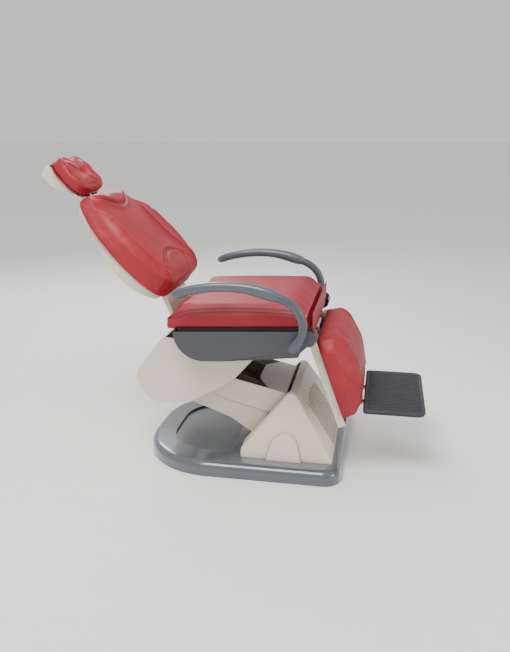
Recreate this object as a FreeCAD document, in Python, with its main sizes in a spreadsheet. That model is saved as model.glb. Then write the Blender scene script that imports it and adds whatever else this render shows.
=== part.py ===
"""Dental chair: floor base, parallelogram lift, reclining back, folding leg rest, jointed headrest.

Frame: +X towards the patient's feet, +Y to the patient's left, +Z up. The origin is on the floor,
at the centre of the four floor anchors. All sizes are in millimetres and degrees.
"""
import FreeCAD, Part
import os
from math import atan2, cos, degrees, hypot, radians, sin, tan

V = FreeCAD.Vector
Y_AXIS = V(0, 1, 0)
doc = FreeCAD.newDocument("dental_chair")

# ---------------------------------------------------------------- driving dimensions
SIZES = {
    # floor base
    "base_rear": -362, "base_crown": 14, "base_front": 354, "base_half": 330, "base_top": 50,
    "base_round": 26, "base_wall": 4, "plate_thick": 8, "plate_gap": 18,
    "anchor_x": 420, "anchor_y": 440, "anchor_radius": 7,
    # front tower cover
    "tower_front": 322, "tower_half": 262, "tower_ridge_x": 171, "tower_ridge_z": 288,
    "tower_lean": 0.347, "tower_slot": 162, "rib_pitch": 26, "rib_width": 10, "rib_depth": 7,
    # parallelogram lift
    "pivot_x": 150, "pivot_low": 140, "pivot_high": 213, "arm_length": 390, "arm_angle": 19,
    "stand_in": 96, "stand_out": 104, "arm_in": 108, "arm_out": 116, "tie_in": 84, "tie_out": 92,
    "arm_half": 26, "tie_half": 20, "main_shaft": 12, "tie_shaft": 10, "running": 0.05,
    "cover_half": 150, "cover_wall": 4, "skirt_half": 144,
    # lift actuator
    "motor_z": 30, "motor_angle": 32.72, "motor_reach": 438.5, "rod_radius": 12, "eye_play": 7,
    # seat
    "seat_z": 516, "seat_tilt": 3, "seat_half": 291, "seat_wall": 4, "cushion_half": 275,
    "cushion_rear": -254, "cushion_front": 235, "cushion_top": 78, "board_thick": 8,
    "rear_cover_half": 200, "rear_window": 175,
    # backrest
    "back_x": -240, "back_z": 488, "back_lean": 43, "back_shaft": 10, "back_crank": 62,
    "back_crank_angle": 10, "back_top": 550, "back_bottom": 112, "neck_in": 106, "neck_out": 114,
    # headrest
    "head_half": 116, "head_low": 566, "head_high": 736, "head_back": 28, "bar_half": 22,
    # leg rest
    "leg_x": 240, "leg_z": 480, "leg_drop": 70, "leg_half": 220, "leg_length": 300,
    "leg_crank": 45, "leg_crank_angle": 34, "leg_motor_y": 62,
    # foot rest
    "foot_rear": 417, "foot_front": 628, "foot_half": 207, "foot_z": 222, "foot_round": 30,
    # armrests
    "armrest_y": 319, "armrest_x": 192, "armrest_z": 484, "armrest_tube": 12.5, "grip_radius": 16.5,
}

sheet = doc.addObject("Spreadsheet::Sheet", "sizes")
for row, (alias, value) in enumerate(SIZES.items(), start=1):
    sheet.set(f"A{row}", str(value))
    sheet.setAlias(f"A{row}", alias)
doc.recompute()


def size(alias):
    """Value of one cell of the sheet."""
    return float(getattr(sheet, alias))


def bind(item, name, text):
    """Bind a property to an expression written with the sheet's aliases."""
    for alias in sorted(SIZES, key=len, reverse=True):
        text = text.replace(alias, f"<<{alias}>>")
    text = text.replace("<<", "sizes.").replace(">>", "")
    item.setExpression(name, text)


# ---------------------------------------------------------------- outlines
def loop(corners):
    """Closed outline of straight runs and tangent arcs. A corner is (a, b) or (a, b, radius)."""
    points = [V(corner[0], corner[1], 0) for corner in corners]
    radii = [corner[2] if len(corner) > 2 else 0.0 for corner in corners]
    spans = []
    for index, corner in enumerate(points):
        if not radii[index]:
            spans.append((corner, None, corner))
            continue
        before = (points[index - 1] - corner).normalize()
        after = (points[(index + 1) % len(points)] - corner).normalize()
        half = before.getAngle(after) / 2
        reach = radii[index] / tan(half)
        centre = corner + (before + after).normalize() * (radii[index] / sin(half))
        middle = centre + (corner - centre).normalize() * radii[index]
        spans.append((corner + before * reach, middle, corner + after * reach))
    edges = []
    for index, (start, middle, end) in enumerate(spans):
        if middle is not None:
            edges.append(Part.Arc(start, middle, end))
        following = spans[(index + 1) % len(spans)][0]
        if (following - end).Length > 1e-4:
            edges.append(Part.LineSegment(end, following))
    return edges


def ring(a, b, radius):
    """Full circle as an outline."""
    return [Part.Circle(V(a, b, 0), V(0, 0, 1), radius)]


def rectangle(low_a, high_a, low_b, high_b, radius=0.0):
    """Rectangle as an outline, with its corners rounded when a radius is given."""
    corners = [(low_a, low_b), (high_a, low_b), (high_a, high_b), (low_a, high_b)]
    return loop([(a, b, radius) for a, b in corners])


def inset(corners, distance):
    """The same corners moved inwards by a distance, whichever way round the outline goes."""
    moved = []
    count = len(corners)
    area = sum(corners[n - 1][0] * corners[n][1] - corners[n][0] * corners[n - 1][1]
               for n in range(count))
    distance = distance if area > 0 else -distance
    for index, corner in enumerate(corners):
        here = V(corner[0], corner[1], 0)
        before = V(*corners[index - 1][:2], 0)
        after = V(*corners[(index + 1) % count][:2], 0)
        first = (here - before).normalize()
        second = (after - here).normalize()
        inner_a = V(-first.y, first.x, 0)
        inner_b = V(-second.y, second.x, 0)
        slide = (inner_a + inner_b) * (distance / (1 + inner_a.dot(inner_b)))
        turn = first.x * second.y - first.y * second.x
        radius = corner[2] if len(corner) > 2 else 0.0
        if radius:
            radius = max(radius - distance if turn > 0 else radius + distance, 0.5)
        moved.append((here.x + slide.x, here.y + slide.y, radius))
    return moved


def mirrored(corners):
    """Half outline on the negative side, closed by its mirror image on the positive side."""
    return corners + [(-a, b, *rest) for a, b, *rest in reversed(corners)]


def round_end(from_a, to_a, half):
    """Bar outline with two half-round ends, along the first axis."""
    return rectangle(from_a, to_a, -half, half, half * 0.9999)


# ---------------------------------------------------------------- solids
PLANES = {
    "XY": (FreeCAD.Rotation(), V(0, 0, 1)),
    "XZ": (FreeCAD.Rotation(V(1, 0, 0), 90), V(0, 1, 0)),
    "YZ": (FreeCAD.Rotation(V(1, 1, 1), 120), V(1, 0, 0)),
}
ROLES = {"XY": "XY_Plane", "XZ": "XZ_Plane", "YZ": "YZ_Plane"}
pieces = []


def slab(name, plane, loops, low, high):
    """Outlines on a plane, extruded between two distances along the plane's own axis."""
    turn, along = PLANES[plane]
    flat = doc.addObject("Sketcher::SketchObject", f"{name}_sketch")
    for edges in loops:
        flat.addGeometry(edges, False)
    flat.Placement = FreeCAD.Placement(along * low, turn)
    solid = doc.addObject("Part::Extrusion", name)
    solid.Base = flat
    solid.DirMode = "Custom"
    solid.Dir = along
    solid.LengthFwd = high - low
    solid.Solid = True
    return solid


def rod(name, radius, low, high, a=0.0, b=0.0, along="Y"):
    """Cylinder between two distances along Y, or X, with its axis through (a, b)."""
    solid = doc.addObject("Part::Cylinder", name)
    solid.Radius = radius
    solid.Height = high - low
    if along == "Y":
        solid.Placement = FreeCAD.Placement(V(a, low, b), FreeCAD.Rotation(V(1, 0, 0), -90))
    else:
        solid.Placement = FreeCAD.Placement(V(low, a, b), FreeCAD.Rotation(V(0, 1, 0), 90))
    return solid


def cut(name, base, *tools):
    """Base solid less every tool."""
    for number, tool in enumerate(tools):
        step = doc.addObject("Part::Cut", f"{name}_cut{number}")
        step.Base = base
        step.Tool = tool
        base = step
    return base


def fuse(name, *parts):
    """Several solids as one. Solids that don't touch stay a group."""
    joined = doc.addObject("Part::MultiFuse", name)
    joined.Shapes = list(parts)
    joined.Refine = True
    return joined


def common(name, *parts):
    """The space that all the solids share."""
    shared = doc.addObject("Part::MultiCommon", name)
    shared.Shapes = list(parts)
    return shared


def both_sides(name, loops, low, high, plane="XZ"):
    """The same slab on the right and on the left of the mid-plane."""
    left = slab(f"{name}_left", plane, loops, low, high)
    right = slab(f"{name}_right", plane, loops, -high, -low)
    return fuse(name, left, right)


def new_body(name):
    """Empty PartDesign body."""
    return doc.addObject("PartDesign::Body", name)


def feature(body, kind, plane, loops, length, shift=0.0, symmetric=False, flipped=False):
    """Pad or Pocket of outlines drawn on one of the body's own planes, shifted along its axis."""
    flat = body.newObject("Sketcher::SketchObject", f"{body.Name}_sketch")
    support = next(item for item in body.Origin.OriginFeatures if item.Role == ROLES[plane])
    flat.AttachmentSupport = [(support, "")]
    flat.MapMode = "FlatFace"
    along_normal = -shift if plane == "XZ" else shift
    flat.AttachmentOffset = FreeCAD.Placement(V(0, 0, along_normal), FreeCAD.Rotation())
    for edges in loops:
        flat.addGeometry(edges, False)
    step = body.newObject(f"PartDesign::{kind}", f"{body.Name}_{kind.lower()}")
    step.Profile = flat
    bind(step, "Length", length)
    step.SideType = "Symmetric" if symmetric else "One side"
    step.Reversed = flipped
    before = body.Shape.Volume if body.Shape and not body.Shape.isNull() else 0.0
    doc.recompute()
    if kind == "Pocket" and not body.Shape.Volume < before - 1e-3:
        raise RuntimeError(f"{body.Name}: a pocket cuts nothing")
    return step


def fillet(body, radius, chosen):
    """Round the edges of a body whose centre passes a test. The radius is an expression."""
    doc.recompute()
    shape = body.Shape.copy()
    shape.Placement = FreeCAD.Placement()
    names = [f"Edge{n + 1}" for n, edge in enumerate(shape.Edges) if chosen(edge.CenterOfMass, edge)]
    if not names:
        raise RuntimeError(f"{body.Name}: no edge to round")
    base = body.Tip
    step = body.newObject("PartDesign::Fillet", f"{body.Name}_round")
    step.Base = (base, names)
    bind(step, "Radius", radius)
    doc.recompute()
    if "Invalid" in step.State or "Touched" in step.State:
        raise RuntimeError(f"{body.Name}: the edges can't be rounded")
    return step


def keep(label, item, frame=None):
    """Register a sub-part under its own name, at its place in the chair."""
    item.Label = label
    if frame is not None:
        item.Placement = frame
    pieces.append(item)
    return item


def frame_at(x, z, turn):
    """Frame at (x, z) on the mid-plane, turned about +Y."""
    return FreeCAD.Placement(V(x, 0, z), FreeCAD.Rotation(Y_AXIS, turn))


# ---------------------------------------------------------------- frames of the moving groups
arm_angle = size("arm_angle")
low_front = (size("pivot_x"), size("pivot_low"))
high_front = (size("pivot_x"), size("pivot_high"))
arm_run = -size("arm_length") * cos(radians(arm_angle))
arm_rise = size("arm_length") * sin(radians(arm_angle))
low_rear = (low_front[0] + arm_run, low_front[1] + arm_rise)
high_rear = (high_front[0] + arm_run, high_front[1] + arm_rise)
ARM = frame_at(*low_front, arm_angle)
TIE = frame_at(*high_front, arm_angle)
MOTOR = frame_at(size("pivot_x"), size("motor_z"), size("motor_angle"))
SEAT = frame_at(0, size("seat_z"), -size("seat_tilt"))
BACK = frame_at(size("back_x"), size("back_z"), -size("back_lean"))
LEG = frame_at(size("leg_x"), size("leg_z"), size("leg_drop"))


# ---------------------------------------------------------------- floor base
half = size("base_half")
crown_x = size("base_rear") - size("base_crown")
BASE_PLAN = [
    (size("base_front"), -half, 60), (size("base_front"), half, 60),
    (size("base_rear"), half, 268), (crown_x, 0, 1500), (size("base_rear"), -half, 268),
]
LID_PLAN = [(-38, -228, 12), (-38, 228, 12), (-150, 228, 130), (-285, 148, 150),
            (-285, -148, 150), (-150, -228, 130)]


def build_base():
    """Steel floor plate, glossy cover and the service lid in its rear half."""
    top = size("base_top")
    wall = size("base_wall")
    plate = new_body("base_plate")
    anchors = [ring(sx * size("anchor_x") / 2, sy * size("anchor_y") / 2, size("anchor_radius"))
               for sx in (-1, 1) for sy in (-1, 1)]
    feature(plate, "Pad", "XY", [loop(inset(BASE_PLAN, size("plate_gap"))), *anchors], "plate_thick")
    keep("base_plate", plate)

    outside = new_body("base_cover_outside")
    feature(outside, "Pad", "XY", [loop(BASE_PLAN)], "base_top - 1", shift=1)
    fillet(outside, "base_round", lambda c, e: c.z > top - 0.1)
    ceiling = top - 5
    inside = new_body("base_cover_inside")
    feature(inside, "Pad", "XY", [loop(inset(BASE_PLAN, wall))], "base_top - 5", shift=0)
    fillet(inside, "base_round - base_wall", lambda c, e: c.z > ceiling - 0.1)
    lid_hole = slab("base_lid_hole", "XY", [loop(LID_PLAN)], ceiling - 2, top + 2)
    tower_hole = slab("base_tower_hole", "XY", [rectangle(6, 300, -190, 190, 20)], ceiling - 2,
                      top + 2)
    keep("base_cover", cut("base_cover", outside, inside, lid_hole, tower_hole))

    lid = new_body("base_lid")
    feature(lid, "Pad", "XY", [loop(inset(LID_PLAN, -8))], "base_wall * 2", shift=ceiling - 8)
    feature(lid, "Pocket", "XY", [loop(LID_PLAN)], "base_wall", shift=ceiling)
    keep("base_lid", lid)

    box = new_body("control_box")
    feature(box, "Pad", "XY", [rectangle(-235, -75, -90, 90, 6)], "plate_thick * 3",
            shift=size("plate_thick"))
    keep("control_box", box)


def tower_block(name, gap):
    """Tower outline swept across the chair, with both sides leaning in. The gap moves it inwards."""
    profile = [(0, size("base_top") - gap), (size("tower_front"), size("base_top") - gap),
               (size("tower_ridge_x"), size("tower_ridge_z"), 24), (0, 74)]
    outline = inset(profile, gap) if gap else profile
    if gap:
        outline[0] = (outline[0][0], size("base_top") - 1)
        outline[1] = (outline[1][0], size("base_top") - 1)
    block = slab(f"{name}_side", "XZ", [loop(outline)], -size("tower_half") - 20,
                 size("tower_half") + 20)
    high = size("tower_ridge_z")
    foot = size("tower_half") - gap
    rise = high - size("base_top")
    head = foot - rise * size("tower_lean")
    wedge = slab(f"{name}_front", "YZ",
                 [loop([(-foot, size("base_top") - 2), (foot, size("base_top") - 2),
                        (head, high), (-head, high)])], -5, size("tower_front") + 5)
    return common(name, block, wedge)


def build_tower():
    """Front cover: a hollow ridge with a rear slot for the arm, front ribs and side buttresses."""
    outer = tower_block("tower_outer", 0)
    ridge = doc.addObject("Part::Fillet", "tower_soft")
    doc.recompute()
    ridge.Base = outer
    soft = []
    for number, edge in enumerate(outer.Shape.Edges, start=1):
        centre = edge.CenterOfMass
        if abs(centre.y) > 150 and centre.z > size("base_top") + 4:
            soft.append((number, 9.0, 9.0))
    ridge.Edges = soft
    lean = size("tower_lean")
    foot = size("tower_half") + 13
    arch = slab("tower_arch", "XZ", [loop([(92, 47), (216, 47), (196, 118, 40), (158, 150, 30),
                                           (112, 118, 40)])], -foot, foot)
    arch_trim = slab("tower_arch_trim", "YZ",
                     [loop([(-foot, 40), (foot, 40), (foot - 120 * lean, 160),
                            (-foot + 120 * lean, 160)])], 60, 240)
    arches = common("tower_arches", arch, arch_trim)
    inner = tower_block("tower_inner", 5)
    slot = slab("tower_rear_slot", "XZ",
                [loop([(-8, 40), (40, 40), (140, 215), (162, 255), (162, 285), (120, 300),
                       (-8, 130)])],
                -size("tower_slot"), size("tower_slot"))
    front_angle = atan2(size("tower_ridge_z") - size("base_top"),
                        size("tower_front") - size("tower_ridge_x"))
    slope = V(-cos(front_angle), 0, sin(front_angle))
    normal = V(sin(front_angle), 0, cos(front_angle))
    start = V(size("tower_front"), 0, size("base_top"))
    liner = slab("tower_front_liner", "XZ", [loop([
        (size("tower_front") - 20, size("base_top")), (size("tower_front") - 4, size("base_top")),
        (size("tower_ridge_x") + 20, size("tower_ridge_z") - 40),
        (size("tower_ridge_x") + 6, size("tower_ridge_z") - 44)])], -165, 165)
    grooves = []
    for number in range(-4, 5):
        y = number * size("rib_pitch")
        low = start + slope * 6
        high = start + slope * (215 - 4 * abs(number))
        corners = [low + normal * 4, low - normal * size("rib_depth"),
                   high - slope * 26 - normal * size("rib_depth"), high + normal * 4]
        grooves.append(slab(f"tower_groove{number + 4}", "XZ",
                            [loop([(c.x, c.z) for c in corners])],
                            y - size("rib_width") / 2, y + size("rib_width") / 2))
    hollow = cut("tower_hollow", fuse("tower_walls", ridge, arches), inner)
    lined = fuse("tower_lined", hollow, common("tower_liner_in", liner, outer))
    foot_cut = slab("tower_foot_cut", "XY", [rectangle(-20, 400, -400, 400)], 30,
                    size("base_top"))
    keep("front_cover", cut("front_cover", lined, slot, foot_cut, *grooves))


def build_stand():
    """Welded pivot stand, its foot bolts, both fixed shafts and the actuator's floor bracket."""
    low_x, low_z = low_front
    high_x, high_z = high_front
    bore = [ring(low_x, low_z, size("main_shaft")), ring(high_x, high_z, size("tie_shaft"))]
    foot = size("plate_thick")
    cheek = [(low_x - 55, foot), (low_x + 55, foot), (high_x + 26, high_z + 20, 22),
             (high_x - 22, high_z + 20, 21)]
    cheeks = both_sides("stand_cheeks", [loop(cheek), *bore], size("stand_in"), size("stand_out"))
    feet = []
    for side in (-1, 1):
        holes = [ring(sx * 40 + low_x, side * 124, 5.5) for sx in (-1, 1)]
        plan = rectangle(low_x - 60, low_x + 60, min(side * 100, side * 142),
                         max(side * 100, side * 142), 6)
        feet.append(slab(f"stand_foot{side + 1}", "XY", [plan, *holes], foot, foot * 2))
    keep("pivot_stand", fuse("pivot_stand", cheeks, *feet))

    bolts = []
    for number, (sx, sy) in enumerate([(-1, -1), (-1, 1), (1, -1), (1, 1)]):
        centre = V(low_x + sx * 40, sy * 124, 0)
        head = doc.addObject("Part::Prism", f"bolt_head{number}")
        head.Polygon = 6
        head.Circumradius = 9.5
        head.Height = 6.5
        head.Placement = FreeCAD.Placement(centre + V(0, 0, foot * 2), FreeCAD.Rotation())
        shank = doc.addObject("Part::Cylinder", f"bolt_shank{number}")
        shank.Radius = 5
        shank.Height = foot * 2 - 8
        shank.Placement = FreeCAD.Placement(centre + V(0, 0, 8), FreeCAD.Rotation())
        bolts.append(fuse(f"stand_bolt{number}", head, shank))
    keep("stand_bolts", fuse("stand_bolts", *bolts))

    keep("lift_pivot_shaft", rod("lift_pivot_shaft", size("main_shaft"), -122, 122, low_x, low_z))
    keep("link_pivot_shaft", rod("link_pivot_shaft", size("tie_shaft"), -106, 106, high_x, high_z))

    x, z = size("pivot_x"), size("motor_z")
    ears = both_sides("bracket_ears", [loop([(x - 24, foot), (x + 24, foot), (x + 15, z + 15, 14),
                                             (x - 15, z + 15, 14)])], 22, 30)
    base = slab("bracket_base", "XY", [rectangle(x - 30, x + 30, -38, 38, 5)], foot, foot + 4)
    pin = rod("bracket_pin", 8, -33, 33, x, z)
    keep("actuator_bracket", fuse("actuator_bracket", ears, base, pin))


# ---------------------------------------------------------------- parallelogram lift
def build_lift():
    """Main arm, tie links, their bushes and the two telescoping arm covers."""
    reach = size("arm_length")
    arm_half, tie_half = size("arm_half"), size("tie_half")
    holes = [ring(0, 0, 16), ring(-reach, 0, 16)]
    plates = both_sides("arm_plates", [round_end(-reach - arm_half, arm_half, arm_half), *holes],
                        size("arm_in"), size("arm_out"))
    brace = rod("arm_brace", 11, -size("arm_in"), size("arm_in"), -96, 11)
    keep("lift_arm_frame", fuse("lift_arm_frame", plates, brace), ARM)

    rings = []
    inner = size("main_shaft") + size("running")
    for number, x in enumerate((0, -reach)):
        rings.append(both_sides(f"arm_bush{number}", [ring(x, 0, 16), ring(x, 0, inner)],
                                size("arm_in"), size("arm_out")))
    keep("lift_arm_bushes", fuse("lift_arm_bushes", *rings), ARM)

    slack = size("tie_shaft") + 0.5
    tie_holes = [ring(0, 0, 14), ring(-reach, 0, slack)]
    keep("tie_links", both_sides("tie_links", [
        round_end(-reach - tie_half, tie_half, tie_half), *tie_holes],
        size("tie_in"), size("tie_out")), TIE)
    inner = size("tie_shaft") + size("running")
    keep("tie_link_bushes", both_sides("tie_link_bushes", [ring(0, 0, 14), ring(0, 0, inner)],
                                       size("tie_in"), size("tie_out")), TIE)

    upper = [(95, 178, 6), (143, 228, 10), (150, 255, 8), (-36, 298, 60), (-150, 372, 40),
             (-226, 392, 34), (-250, 300, 30), (-62, 217, 10)]
    wide = size("cover_half")
    wall = size("cover_wall")
    shell = slab("upper_shell", "XZ", [loop(upper)], -wide, wide)
    inside = slab("upper_inside", "XZ", [loop([(a + 0.5, b - wall, r) for a, b, r in upper])],
                  -wide + wall, wide - wall)
    tongue = mirrored([(-148, -400), (-148, 84), (-72, 36, 60)])
    tongue_cut = slab("upper_tongue_cut", "XY", [loop([(b, a, *rest) for a, b, *rest in tongue])],
                      200, 420)
    side_keep = slab("upper_side_keep", "XZ", [rectangle(-400, 200, 150, 450)], -wide + wall,
                     wide - wall)
    keep("arm_cover_upper", cut("arm_cover_upper", shell, inside,
                                common("upper_rear_cut", tongue_cut, side_keep)))

    skirt = [(25, 92, 10), (96, 196, 6), (-60, 240, 20), (-240, 292, 20), (-262, 225, 25),
             (-215, 205, 30), (-56, 147, 60)]
    outer = size("skirt_half")
    block = slab("skirt_block", "XZ", [loop(skirt)], -outer, outer)
    open_skirt = [(39, 87), (110, 200)] + [(a, b + wall, r) for a, b, r in skirt[2:]]
    hollow = slab("skirt_hollow", "XZ", [loop(open_skirt)], -outer + wall, outer - wall)
    gap = slab("skirt_gap", "XZ", [rectangle(-190, 110, 60, 300)], -46, 46)
    keep("arm_cover_lower", cut("arm_cover_lower", block, hollow, gap))


def build_lift_actuator():
    """Linear motor between the floor bracket and the rear end of the main arm."""
    reach = size("motor_reach")
    eye = rod("motor_eye", 15.5, -21, 21)
    neck = slab("motor_neck", "XZ", [rectangle(-34, -8, -13, 13)], -18, 18)
    case = slab("motor_case", "XZ", [rectangle(-150, -30, -27, 27, 10)], -32, 32)
    bore = rod("motor_bore", 8 + size("running"), -40, 40)
    keep("lift_motor_housing", cut("lift_motor_housing", fuse("motor_solid", eye, neck, case), bore),
         MOTOR)

    tube = rod("motor_tube_outer", 23, -300, -150, 0, 0, "X")
    inside = rod("motor_tube_inner", size("rod_radius") + 0.4, -301, -149, 0, 0, "X")
    keep("lift_motor_tube", cut("lift_motor_tube", tube, inside), MOTOR)

    shaft = rod("lift_rod_shaft", size("rod_radius"), -reach + 22, -175, 0, 0, "X")
    loop_end = rod("lift_rod_eye", 27, -14, 14, -reach, 0)
    hole = rod("lift_rod_hole", size("main_shaft") + size("eye_play"), -20, 20, -reach, 0)
    keep("lift_rod", cut("lift_rod", fuse("lift_rod_solid", shaft, loop_end), hole), MOTOR)


# ---------------------------------------------------------------- seat carriage
SHELL_SIDE = [(-222, 0), (-222, -103, 101), (192, -103, 6), (204, -77, 6), (228, -52, 6),
              (258, -52, 25.9), (258, 0, 25.9)]
REAR_COVER_SIDE = [(-287, 455, 5), (-398, 312, 55), (-340, 205, 80), (-190, 222, 150),
                   (-40, 305, 250), (38, 395, 6), (30, 402, 6), (-125, 396, 60), (-190, 418, 60),
                   (-232, 452, 8)]


def build_carriage():
    """Side plates that stay level, their shafts and bushes, and the egg-shaped rear cover."""
    back = (size("back_x"), size("back_z"))
    knee = (size("leg_x"), size("leg_z"))
    outline = [(low_rear[0] - 27, low_rear[1] - 27, 26), (low_rear[0] + 27, low_rear[1] - 27, 26),
               (low_rear[0] + 27, 372, 30), (-130, 418, 40), (60, 432, 200), (205, 452, 40),
               (226, knee[1] - 15, 14), (knee[0] + 15, knee[1] - 15, 14),
               (knee[0] + 15, knee[1] + 14, 14), (knee[0] - 20, knee[1] + 14, 10), (196, 482, 10),
               (-196, 463, 20), (-214, 497, 12), (back[0] - 15, back[1] + 19, 14),
               (back[0] - 15, back[1] - 20, 14), (low_rear[0] - 27, 400, 40)]
    holes = [ring(*low_rear, size("main_shaft")), ring(*high_rear, size("tie_shaft")),
             ring(*back, 13), ring(*knee, 9)]
    keep("carriage_plates", both_sides("carriage_plates", [loop(outline), *holes],
                                       size("stand_in"), size("stand_out")))
    inner = size("back_shaft") + size("running")
    keep("back_bushes", both_sides("back_bushes", [ring(*back, 13), ring(*back, inner)],
                                   size("stand_in"), size("stand_out")))
    keep("arm_rear_shaft", rod("arm_rear_shaft", size("main_shaft"), -122, 122, *low_rear))
    keep("link_rear_shaft", rod("link_rear_shaft", size("tie_shaft"), -106, 106, *high_rear))
    keep("leg_pivot_shaft", rod("leg_pivot_shaft", 9, -120, 120, *knee))

    wide, wall = size("rear_cover_half"), size("cover_wall")
    block = slab("rear_block", "XZ", [loop(REAR_COVER_SIDE)], -wide, wide)
    hollow = slab("rear_hollow", "XZ", [loop(inset(REAR_COVER_SIDE, wall))], -wide + wall,
                  wide - wall)
    top = slab("rear_top_open", "XZ", [loop([(-278, 436), (-278, 470), (60, 470), (60, 392),
                                             (18, 384), (-125, 380), (-205, 405)])],
               -wide + wall, wide - wall)
    window = slab("rear_window_cut", "XZ", [loop([(-262, 190), (60, 190), (60, 400), (0, 395),
                                                  (-150, 262), (-262, 240)])],
                  -size("rear_window"), size("rear_window"))
    rod_room = slab("rear_rod_room", "XZ", [rectangle(-300, -270, 440, 470)], -12, 12)
    keep("rear_cover", cut("rear_cover", block, hollow, top, window, rod_room))


def build_seat():
    """Seat tray with its frame, board, cushion and the flap over the knee joint."""
    wide, wall = size("seat_half"), size("seat_wall")
    block = slab("shell_block", "XZ", [loop(SHELL_SIDE)], -wide, wide)
    inner_side = inset(SHELL_SIDE, wall)
    inner_side[0] = (inner_side[0][0], 12)
    inner_side[-1] = (inner_side[-1][0], 12)
    inner_side[-2] = (inner_side[-1][0], inner_side[-2][1], 22)
    hollow = slab("shell_hollow", "XZ", [loop(inner_side)], -wide + wall, wide - wall)
    belly = slab("shell_belly_open", "XY", [rectangle(-235, 175, -118, 118, 10)], -120, -5)
    front = slab("shell_front_open", "XY", [rectangle(188, 270, -225, 225)], -90, 10)
    middle = size("leg_motor_y")
    rod_gap = slab("shell_rod_gap", "XY", [rectangle(170, 215, middle - 12, middle + 12)], -120, -55)
    keep("seat_shell", cut("seat_shell", block, hollow, belly, front, rod_gap), SEAT)

    rails = []
    for number, x in enumerate((-190, -15, 155)):
        rails.append(slab(f"seat_cross{number}", "XZ", [rectangle(x, x + 30, -34, -4, 3)], -265, 265))
    sides = both_sides("seat_rails", [rectangle(-190, 185, -34, -4)], 235, 265)
    keep("seat_frame", fuse("seat_frame", *rails, sides), SEAT)

    board = new_body("seat_board")
    feature(board, "Pad", "XY", [rectangle(-212, 236, -wide + 10, wide - 10, 12)], "board_thick")
    keep("seat_board", board, SEAT)

    cushion = new_body("seat_cushion")
    rear, fore = size("cushion_rear"), size("cushion_front")
    top, side = size("cushion_top"), size("cushion_half")
    profile = [(rear + 4, 8, 3), (fore, 8, 3), (fore, top - 4, 34), (rear, top, 26)]
    feature(cushion, "Pad", "XZ", [loop(profile)], "cushion_half * 2", symmetric=True)
    fillet(cushion, "cushion_top / 3", lambda c, e: abs(c.y) > side - 1 and c.z > top - 12)
    keep("seat_cushion", cushion, SEAT)

    flap = new_body("knee_flap")
    feature(flap, "Pad", "XZ", [rectangle(239.5, 245, 498, 539, 2)], "cushion_half * 2 - 130",
            symmetric=True)
    keep("knee_flap", flap)


def build_seat_drives():
    """Motors under the seat for the back and the leg rest, with their slotted rods."""
    swing = radians(size("back_crank_angle"))
    pin = (size("back_x") - size("back_crank") * sin(swing),
           size("back_z") - size("back_crank") * cos(swing))
    level = 431.6
    case = slab("recline_case", "XZ", [rectangle(60, 150, 424, 466, 8)], -30, 30)
    tube = rod("recline_tube", 15, -145, 62, 0, level, "X")
    stay = slab("recline_stay", "XZ", [rectangle(96, 116, 452.5, 464)], -96, 96)
    bore = rod("recline_bore", 10.4, -146, 56, 0, level, "X")
    keep("recline_motor", cut("recline_motor", fuse("recline_solid", case, tube, stay), bore))
    eye = slab("recline_eye", "XZ", [rectangle(pin[0] - 18, pin[0] + 18, level - 24, level + 24, 12),
                                     rectangle(pin[0] - 9.8, pin[0] + 9.8, level - 15.5,
                                               level + 15.5, 9.7)], -8, 8)
    bar = rod("recline_bar", 10, pin[0] + 17, -45, 0, level, "X")
    keep("recline_rod", fuse("recline_rod", eye, bar))

    swing = radians(size("leg_crank_angle"))
    pin = (size("leg_x") - size("leg_crank") * sin(swing),
           size("leg_z") - size("leg_crank") * cos(swing))
    level = 439.0
    middle = size("leg_motor_y")
    case = slab("leg_case", "XZ", [rectangle(-60, 20, 426, 462, 8)], middle - 22, middle + 22)
    tube = rod("leg_tube", 12, 20, 150, middle, level, "X")
    tube.Placement = FreeCAD.Placement(V(20, middle, level), FreeCAD.Rotation(V(0, 1, 0), 90))
    stay = slab("leg_stay", "XZ", [rectangle(-40, -24, 440, 456)], middle + 20, 96)
    bore = rod("leg_bore", 8.4, 0, 151, middle, level, "X")
    keep("leg_motor", cut("leg_motor", fuse("leg_motor_solid", case, tube, stay), bore))
    eye = slab("leg_eye", "XZ", [rectangle(pin[0] - 14, pin[0] + 14, level - 18, level + 18, 10),
                                 rectangle(pin[0] - 7.6, pin[0] + 7.6, level - 11.6, level + 11.6,
                                           7.5)], middle - 5, middle + 5)
    bar = rod("leg_bar", 8, 70, pin[0] - 13, middle, level, "X")
    keep("leg_rod", fuse("leg_rod", eye, bar))


# ---------------------------------------------------------------- backrest
BACK_FACE = mirrored([(-185, 112, 90), (-268, 262, 240), (-146, 550, 75)])


def back_wedge(name, gap):
    """Back casing block: the egg-shaped face tapering to the rear, towards the top and bottom."""
    face = slab(f"{name}_face", "YZ", [loop(inset(BACK_FACE, 6 + gap))], -12, 27)
    side = [(27, 118 + gap), (27, 548 - gap), (9 + gap, 548 - gap), (-11 + gap, 215, 200),
            (8 + gap, 118 + gap, 10)]
    profile = slab(f"{name}_side", "XZ", [loop(list(reversed(side)))], -280, 280)
    return common(name, face, profile)


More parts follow.
